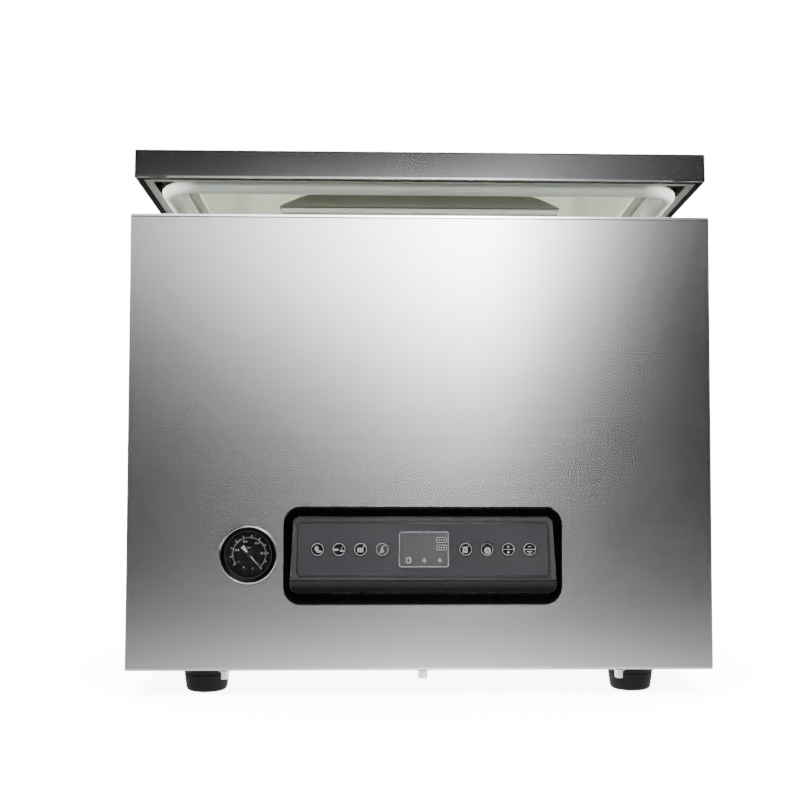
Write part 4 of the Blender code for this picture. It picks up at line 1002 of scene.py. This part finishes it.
def make_gauge_bezel():
    """Chrome rim, black ring inside it, and a thin chrome ring that holds the glass."""
    r, depth, rim = GAUGE_R, GAUGE_DEPTH, 0.0009
    seat, seat_r = 0.0104, CASE_R + 0.0003
    lip, outer_r = r - 0.0050, r - rim - 0.0005
    profile = [(r - 0.0003, 0.0003), (r, 0.0008)]
    profile += arc((r - 0.0007, depth - 0.0012), 0.0007, 0, 90, 8)
    profile += arc((r - rim, depth - 0.0009), 0.0004, 90, 180, 4)
    profile += [(r - rim - 0.0004, 0.0016), (seat_r, 0.0016), (seat_r, 0.0003)]
    chrome = gauge_part("gauge_bezel_rim", profile, "chrome", True, ["gauge_bezel"])
    chrome.visible_glossy = False
    profile = [(seat_r, 0.0017), (outer_r, 0.0017)]
    profile += arc((outer_r - 0.0009, depth - 0.0016), 0.0009, 0, 90, 6)
    profile += arc((lip + 0.0009, depth - 0.0020), 0.0009, 90, 180, 6)
    profile += [(lip, seat), (seat_r, seat)]
    gauge_part("gauge_bezel_ring", profile, "black", True)
    profile = [(lip - 0.0001, seat), (lip - 0.0001, depth - 0.0026), (lip - 0.0003, depth - 0.0024),
               (lip - 0.0006, depth - 0.0028), (lip - 0.0006, seat)]
    gauge_part("gauge_inner_ring", profile, "chrome", True)


def make_gauge_case():
    """Cup with a threaded stub behind, the dial in it, and the glass over them."""
    stub_r, stub_end, back = 0.005, -0.046, -0.034
    profile = [(stub_r, stub_end), (stub_r, back), (CASE_R - 0.003, back), (CASE_R, back + 0.003),
               (CASE_R, 0.0090), (WELL_R, 0.0090), (WELL_R, -0.0050)]
    gauge_part("gauge_case_cup", profile, "moulded", nodes=["gauge_case"])
    profile = [(DIAL_R, 0.0), (DIAL_R, 0.0008), (DIAL_R - 0.0003, 0.0010)]
    gauge_part("gauge_dial_plate", profile, "dial", nodes=["gauge_dial"])
    profile = [(DIAL_R, 0.0075), (DIAL_R, 0.0086)]
    profile += [(DIAL_R * cos(a), 0.0086 + 0.0009 * sin(a)) for a in (0.3, 0.6, 0.9, 1.2, 1.45)]
    gauge_part("gauge_lens_glass", profile, "lens", nodes=["gauge_lens"])


def on_dial(turn, distance):
    """Point of the dial at an angle clockwise from straight up."""
    return distance * sin(turn), distance * cos(turn)


def make_scale():
    """Graduations on a fine arc."""
    count, steps = DIVISIONS * PER_DIVISION, 90
    shapes = []
    for i in range(count + 1):
        turn = SCALE_ZERO - SCALE_TURN * i / count
        reach, width = (0.0030, 0.0005) if i % PER_DIVISION == 0 else (0.0013, 0.00022)
        shapes.append(bar(*on_dial(turn, SCALE_R), *on_dial(turn, SCALE_R + reach), width))
    turns = [SCALE_ZERO - SCALE_TURN * i / steps for i in range(steps + 1)]
    line = [on_dial(t, SCALE_R - 0.0001) for t in turns]
    line += [on_dial(t, SCALE_R + 0.0001) for t in reversed(turns)]
    print_marks("gauge_scale_marks", DIAL_FACE, "cabinet", [*shapes, line])


def make_figures():
    """Figures from 0 to -1, the unit, and the two screws of the dial."""
    for i in range(0, DIVISIONS + 1, 2):
        x, y = on_dial(SCALE_ZERO - SCALE_TURN * i / DIVISIONS, SCALE_R - 0.0029)
        text = "0" if i == 0 else f"-{i / DIVISIONS:g}"
        print_text(f"gauge_figure_{i}", text, DIAL_FACE @ shift((x, y, 0.0)), 0.0031)
    print_text("gauge_unit", "bar", DIAL_FACE @ shift((0.0, 0.0062, 0.0)), 0.0027)
    places = [DIAL_FACE @ shift((*on_dial(radians(turn), 0.0137), 0.0)) for turn in (166.0, 203.0)]
    cap_screws("gauge_dial_screws", places, 0.0009, 0.0005, "cabinet")


def make_needle():
    low, high, hub_r = 0.0025, 0.0031, 0.0026
    turn = GAUGE_PLACE @ Matrix.Rotation(-SCALE_ZERO, 4, "Z")
    tail, neck, tip = -0.0098, -0.0022, 0.0188
    outline = [(-0.0021, tail), (0.0021, tail), (0.0009, neck), (0.0006, 0.0), (0.0006, 0.0030),
               (0.00025, tip), (-0.00025, tip), (-0.0006, 0.0030), (-0.0006, 0.0), (-0.0009, neck)]
    bm = bmesh.new()
    skin(bm, [[turn @ Vector((x, y, z)) for x, y in outline] for z in (low, high)])
    soften(link_mesh("gauge_needle_blade", bm, "needle", "gauge_needle_body",
                     ["gauge_needle"]), 0.0001)
    cap_z = high + 0.0004
    hub = [(0.0014, 0.0014), (0.0024, 0.0018), (hub_r, cap_z)]
    hub += [(hub_r * cos(a), cap_z + 0.0012 * sin(a)) for a in (0.3, 0.6, 0.9, 1.25)]
    turned("gauge_needle_hub", hub, "moulded", "gauge_needle_body", turn, 32)


# ---- rear side and the inside of the cabinet ----------------------------------------------
def make_inlet():
    dressed("power_inlet", "moulded", edge=0.0006)
    dressed("power_rocker", "black", segments=3)
    middle = middle_of("power_inlet")
    pin = Matrix.Diagonal((0.0019, 0.0130, 0.0040, 1.0))
    bm = bmesh.new()
    for dx, dz in ((-0.007, -0.001), (0.0, 0.003), (0.007, -0.001)):
        at = shift((middle.x + dx, REAR_Y - 0.0095, middle.z - 0.0155 + dz))
        bmesh.ops.create_cube(bm, size=1.0, matrix=at @ pin)
    soften(link_mesh("power_inlet_pins", bm, "brass", "cabinet"), 0.0005, 3)


def make_inside():
    for node, material, slot, edge in (
            ("control_board", "board", "circuit_board", 0.0003),
            ("vacuum_pump", "pump", "pump_casting", 0.0012),
            ("pump_motor", "motor", "motor_casting", 0.0010),
            ("exhaust_filter", "filter", "filter_shell", 0.0008),
            ("transformer", "core", "transformer_core", 0.0006),
            ("valve_block", "brass", "valve_brass", 0.0008),
            ("vacuum_hose", "rubber", "black_rubber", 0.0),
            ("gauge_hose", "rubber", "black_rubber", 0.0)):
        dressed(node, material, edge)


# ---- stage --------------------------------------------------------------------------------
def stage_object(name, bm, material, *seen_by):
    """Piece of the stage: only the kinds of rays that are named in seen_by see it."""
    mesh = bpy.data.meshes.new(name)
    bm.to_mesh(mesh)
    bm.free()
    mesh.materials.append(material)
    mesh.shade_smooth()
    obj = bpy.data.objects.new(name, mesh)
    bpy.context.scene.collection.objects.link(obj)
    for kind in ("camera", "glossy", "diffuse", "transmission", "shadow"):
        setattr(obj, f"visible_{kind}", kind in seen_by)
    return obj


def glow(name, strength):
    material, tree, shader = new_material(name)
    tree.nodes.remove(shader)
    emission = add_node(tree, "ShaderNodeEmission", inputs={"Strength": strength})
    plug(tree, tree.nodes["Material Output"], {"Surface": emission.outputs["Emission"]})
    return material, emission


def add_softbox(name, location, target, size, power, receiver=None):
    data = bpy.data.lights.new(name, "AREA")
    data.shape = "RECTANGLE"
    data.size, data.size_y = size
    data.energy = power
    light = bpy.data.objects.new(name, data)
    light.location = location
    light.rotation_euler = (Vector(target) - Vector(location)).to_track_quat("-Z", "Y").to_euler()
    bpy.context.scene.collection.objects.link(light)
    if receiver:
        light.light_linking.receiver_collection = receiver
    return light


def fade(tree, value, centre, below, above, power):
    """exp(-(distance / reach) ** power), with its own reach on each side of the centre."""
    away = calc(tree, "SUBTRACT", value, centre)
    reach = spread(tree, calc(tree, "GREATER_THAN", away, 0.0), below, above, 0.0, 1.0)
    ratio = calc(tree, "DIVIDE", calc(tree, "ABSOLUTE", away), reach)
    return calc(tree, "POWER", exp(-1.0), calc(tree, "POWER", ratio, power))


def spot(tree, at, across, upward, strength):
    """Soft bright spot on the card: across and upward each give the values of a fade."""
    shape = calc(tree, "MULTIPLY", fade(tree, at["X"], *across), fade(tree, at["Z"], *upward))
    return calc(tree, "MULTIPLY", shape, strength)


def make_softbox_card():
    """Large softbox in front of the machine, seen in its steel: brightest high and to the right."""
    material, emission = glow("softbox_card_glow", 1.0)
    tree = material.node_tree
    at = axes(tree)
    panel = spot(tree, at, (0.25, 0.35, 0.093, 1.1), (0.99, 0.25, 0.11, 2.0), 48.0)
    corner = spot(tree, at, (0.42, 0.10, 0.15, 1.1), (0.93, 0.12, 0.12, 2.0), 6.5)
    lid = calc(tree, "MULTIPLY", fade(tree, at["X"], 0.36, 0.13, 0.28, 1.1), 1.08)
    lid = calc(tree, "MULTIPLY", calc(tree, "ADD", lid, 0.055),
               fade(tree, at["Z"], 1.30, 0.16, 0.30, 2.0))
    wide = calc(tree, "MULTIPLY", fade(tree, at["X"], 0.05, 0.75, 0.50, 2.0), 0.09)
    bright = calc(tree, "ADD", calc(tree, "ADD", panel, corner), lid)
    plug(tree, emission, {"Strength": calc(tree, "ADD", bright, wide)})
    bm = bmesh.new()
    half, top, near, far = 2.2, 3.0, -2.40, -2.42
    skin(bm, [[Vector((x, y, z)) for x, z in ((-half, 0.0), (half, 0.0), (half, top), (-half, top))]
              for y in (far, near)])
    stage_object("softbox_card", bm, material, "glossy", "diffuse")


def make_floor_card():
    """Glow of the lit floor in the steel, strongest close to the machine."""
    material, emission = glow("floor_card_glow", 1.0)
    tree = material.node_tree
    away = add_node(tree, "ShaderNodeVectorMath", {"operation": "DISTANCE"},
                    {0: coordinates(tree), 1: (0.02, FRONT_Y, 0.0)}).outputs["Value"]
    near = calc(tree, "MULTIPLY", fade(tree, away, 0.0, 0.24, 0.24, 1.0), 3.3)
    plug(tree, emission, {"Strength": calc(tree, "ADD", near, 0.09)})
    bm = bmesh.new()
    bmesh.ops.create_circle(bm, cap_ends=True, radius=3.0, segments=64)
    stage_object("floor_card", bm, material, "glossy").location.z = -0.002


def make_floor():
    """Pale floor, lit by lights of its own, that turns into plain white away from the machine."""
    paper = surface("pale_floor", (0.86, 0.86, 0.86), 0.75, tone=0.01, patch=2.0, grain=80.0,
                    strength=0.05)
    tree = paper.node_tree
    away = add_node(tree, "ShaderNodeVectorMath", {"operation": "LENGTH"}, {0: coordinates(tree)})
    plug(tree, tree.nodes["Principled BSDF"], {
        "Emission Strength": spread(tree, away.outputs["Value"], 8.5, 18.0, 0.35, 0.9),
        "Emission Color": (1.0, 1.0, 1.0, 1.0)})
    bm = bmesh.new()
    bmesh.ops.create_circle(bm, cap_ends=True, radius=6.0, segments=96)
    stage_object("floor", bm, paper, "camera", "shadow")
    only = lit_group("floor_only", "floor")
    add_softbox("floor_light", (0.0, -1.2, 2.6), (0.0, 0.0, 0.0), (3.0, 3.0), 800.0, only)
    add_softbox("floor_rear_light", (0.0, 1.8, 1.6), (0.0, 0.0, 0.0), (3.0, 2.0), 300.0, only)


def make_backdrop():
    """White all round the machine, and the pale wall that shows through its clear lid."""
    white, _ = glow("backdrop_white", 18.0)
    bm = bmesh.new()
    bmesh.ops.create_uvsphere(bm, u_segments=64, v_segments=32, radius=5.6)
    stage_object("backdrop", bm, white, "camera")
    wall, emission = glow("studio_wall_glow", 1.0)
    plug(wall.node_tree, emission, {"Color": (0.86, 0.92, 0.70, 1.0)})
    bm = bmesh.new()
    bmesh.ops.create_uvsphere(bm, u_segments=48, v_segments=24, radius=5.4)
    stage_object("studio_wall", bm, wall, "transmission")


def lit_group(name, *pieces):
    """Collection of the pieces that a light of their own reaches."""
    group = bpy.data.collections.new(name)
    for piece in pieces:
        group.objects.link(bpy.data.objects[piece])
    return group


def make_lights():
    add_softbox("top_light", (0.0, 0.2, 2.2), (0.0, 0.0, 0.3), (1.8, 1.4), 80.0)
    under_lid = lit_group("under_lid", "counter_bar_holder_finished",
                          "counter_bar_rubber_finished", "lid_window_acrylic",
                          "lid_frame_folded", "top_deck_finished")
    gasket = lit_group("gasket_only", "lid_gasket_profile")
    for name, x, y, z, width, power, group in (
            ("gap_light", 0.1, -1.7, 0.12, 1.6, 6.5, under_lid),
            ("gap_light_left", -1.7, -0.9, 0.38, 0.7, 18.0, under_lid),
            ("gap_light_right", 1.7, -0.9, 0.38, 0.7, 22.0, under_lid),
            ("gasket_light", 0.1, -1.7, 0.12, 1.6, 0.8, gasket),
            ("gasket_light_left", -1.7, -0.29, 0.40, 0.4, 110.0, gasket),
            ("gasket_light_right", 1.7, -0.29, 0.40, 0.4, 120.0, gasket)):
        light = add_softbox(name, (x, y, z), (0.0, FRONT_Y, TOP_Z), (width, 0.3), power, group)
        light.visible_glossy = False
    for name, x, y in (("left", -2.4, 0.5), ("right", 2.4, 0.5), ("rear", 0.0, 2.7)):
        side = add_softbox(f"{name}_softbox", (x, y, 1.0), (0.0, 0.0, 0.35), (1.9, 1.3), 60.0)
        side.visible_transmission = False


def make_world():
    world = bpy.data.worlds.new("studio")
    world.use_nodes = True
    tree = world.node_tree
    plug(tree, tree.nodes["Background"], {"Color": (1.0, 1.0, 1.0, 1.0), "Strength": 0.03})
    bpy.context.scene.world = world


def make_camera():
    data = bpy.data.cameras.new("camera")
    data.sensor_width = 36.0
    data.lens = 56.66
    data.shift_x = -0.0276
    data.shift_y = -0.0090
    camera = bpy.data.objects.new("camera", data)
    yaw, pitch, roll = radians(1.765), radians(2.908), radians(0.102)
    forward = Vector((sin(yaw) * cos(pitch), cos(yaw) * cos(pitch), sin(pitch)))
    right = forward.cross(Z_AXIS).normalized()
    up = right.cross(forward)
    right, up = right * cos(roll) + up * sin(roll), up * cos(roll) - right * sin(roll)
    matrix = Matrix((right, up, -forward)).transposed().to_4x4()
    matrix.translation = (-0.0366, -1.4422, 0.2276)
    camera.matrix_world = matrix
    bpy.context.scene.collection.objects.link(camera)
    bpy.context.scene.camera = camera


make_camera()
make_cabinet()
make_rear_screws()
for end in ("front", "rear"):
    for side in ("left", "right"):
        make_foot(f"foot_{end}_{side}")
for side in ("left", "centre", "right"):
    make_front_bolt(f"front_bolt_{side}")
make_chamber()
make_seal_bar()
make_lid_frame()
make_lid_edge()
make_lid_window()
make_lid_gasket()
make_counter_bar()
make_lid_screws()
make_hinge()
make_bezel()
make_fascia()
make_membrane_seam()
for key in KEY_ORDER:
    make_key(key)
make_display()
make_gauge_bezel()
make_gauge_case()
make_scale()
make_figures()
make_needle()
make_inlet()
make_inside()
make_softbox_card()
make_floor_card()
make_floor()
make_backdrop()
make_lights()
make_world()
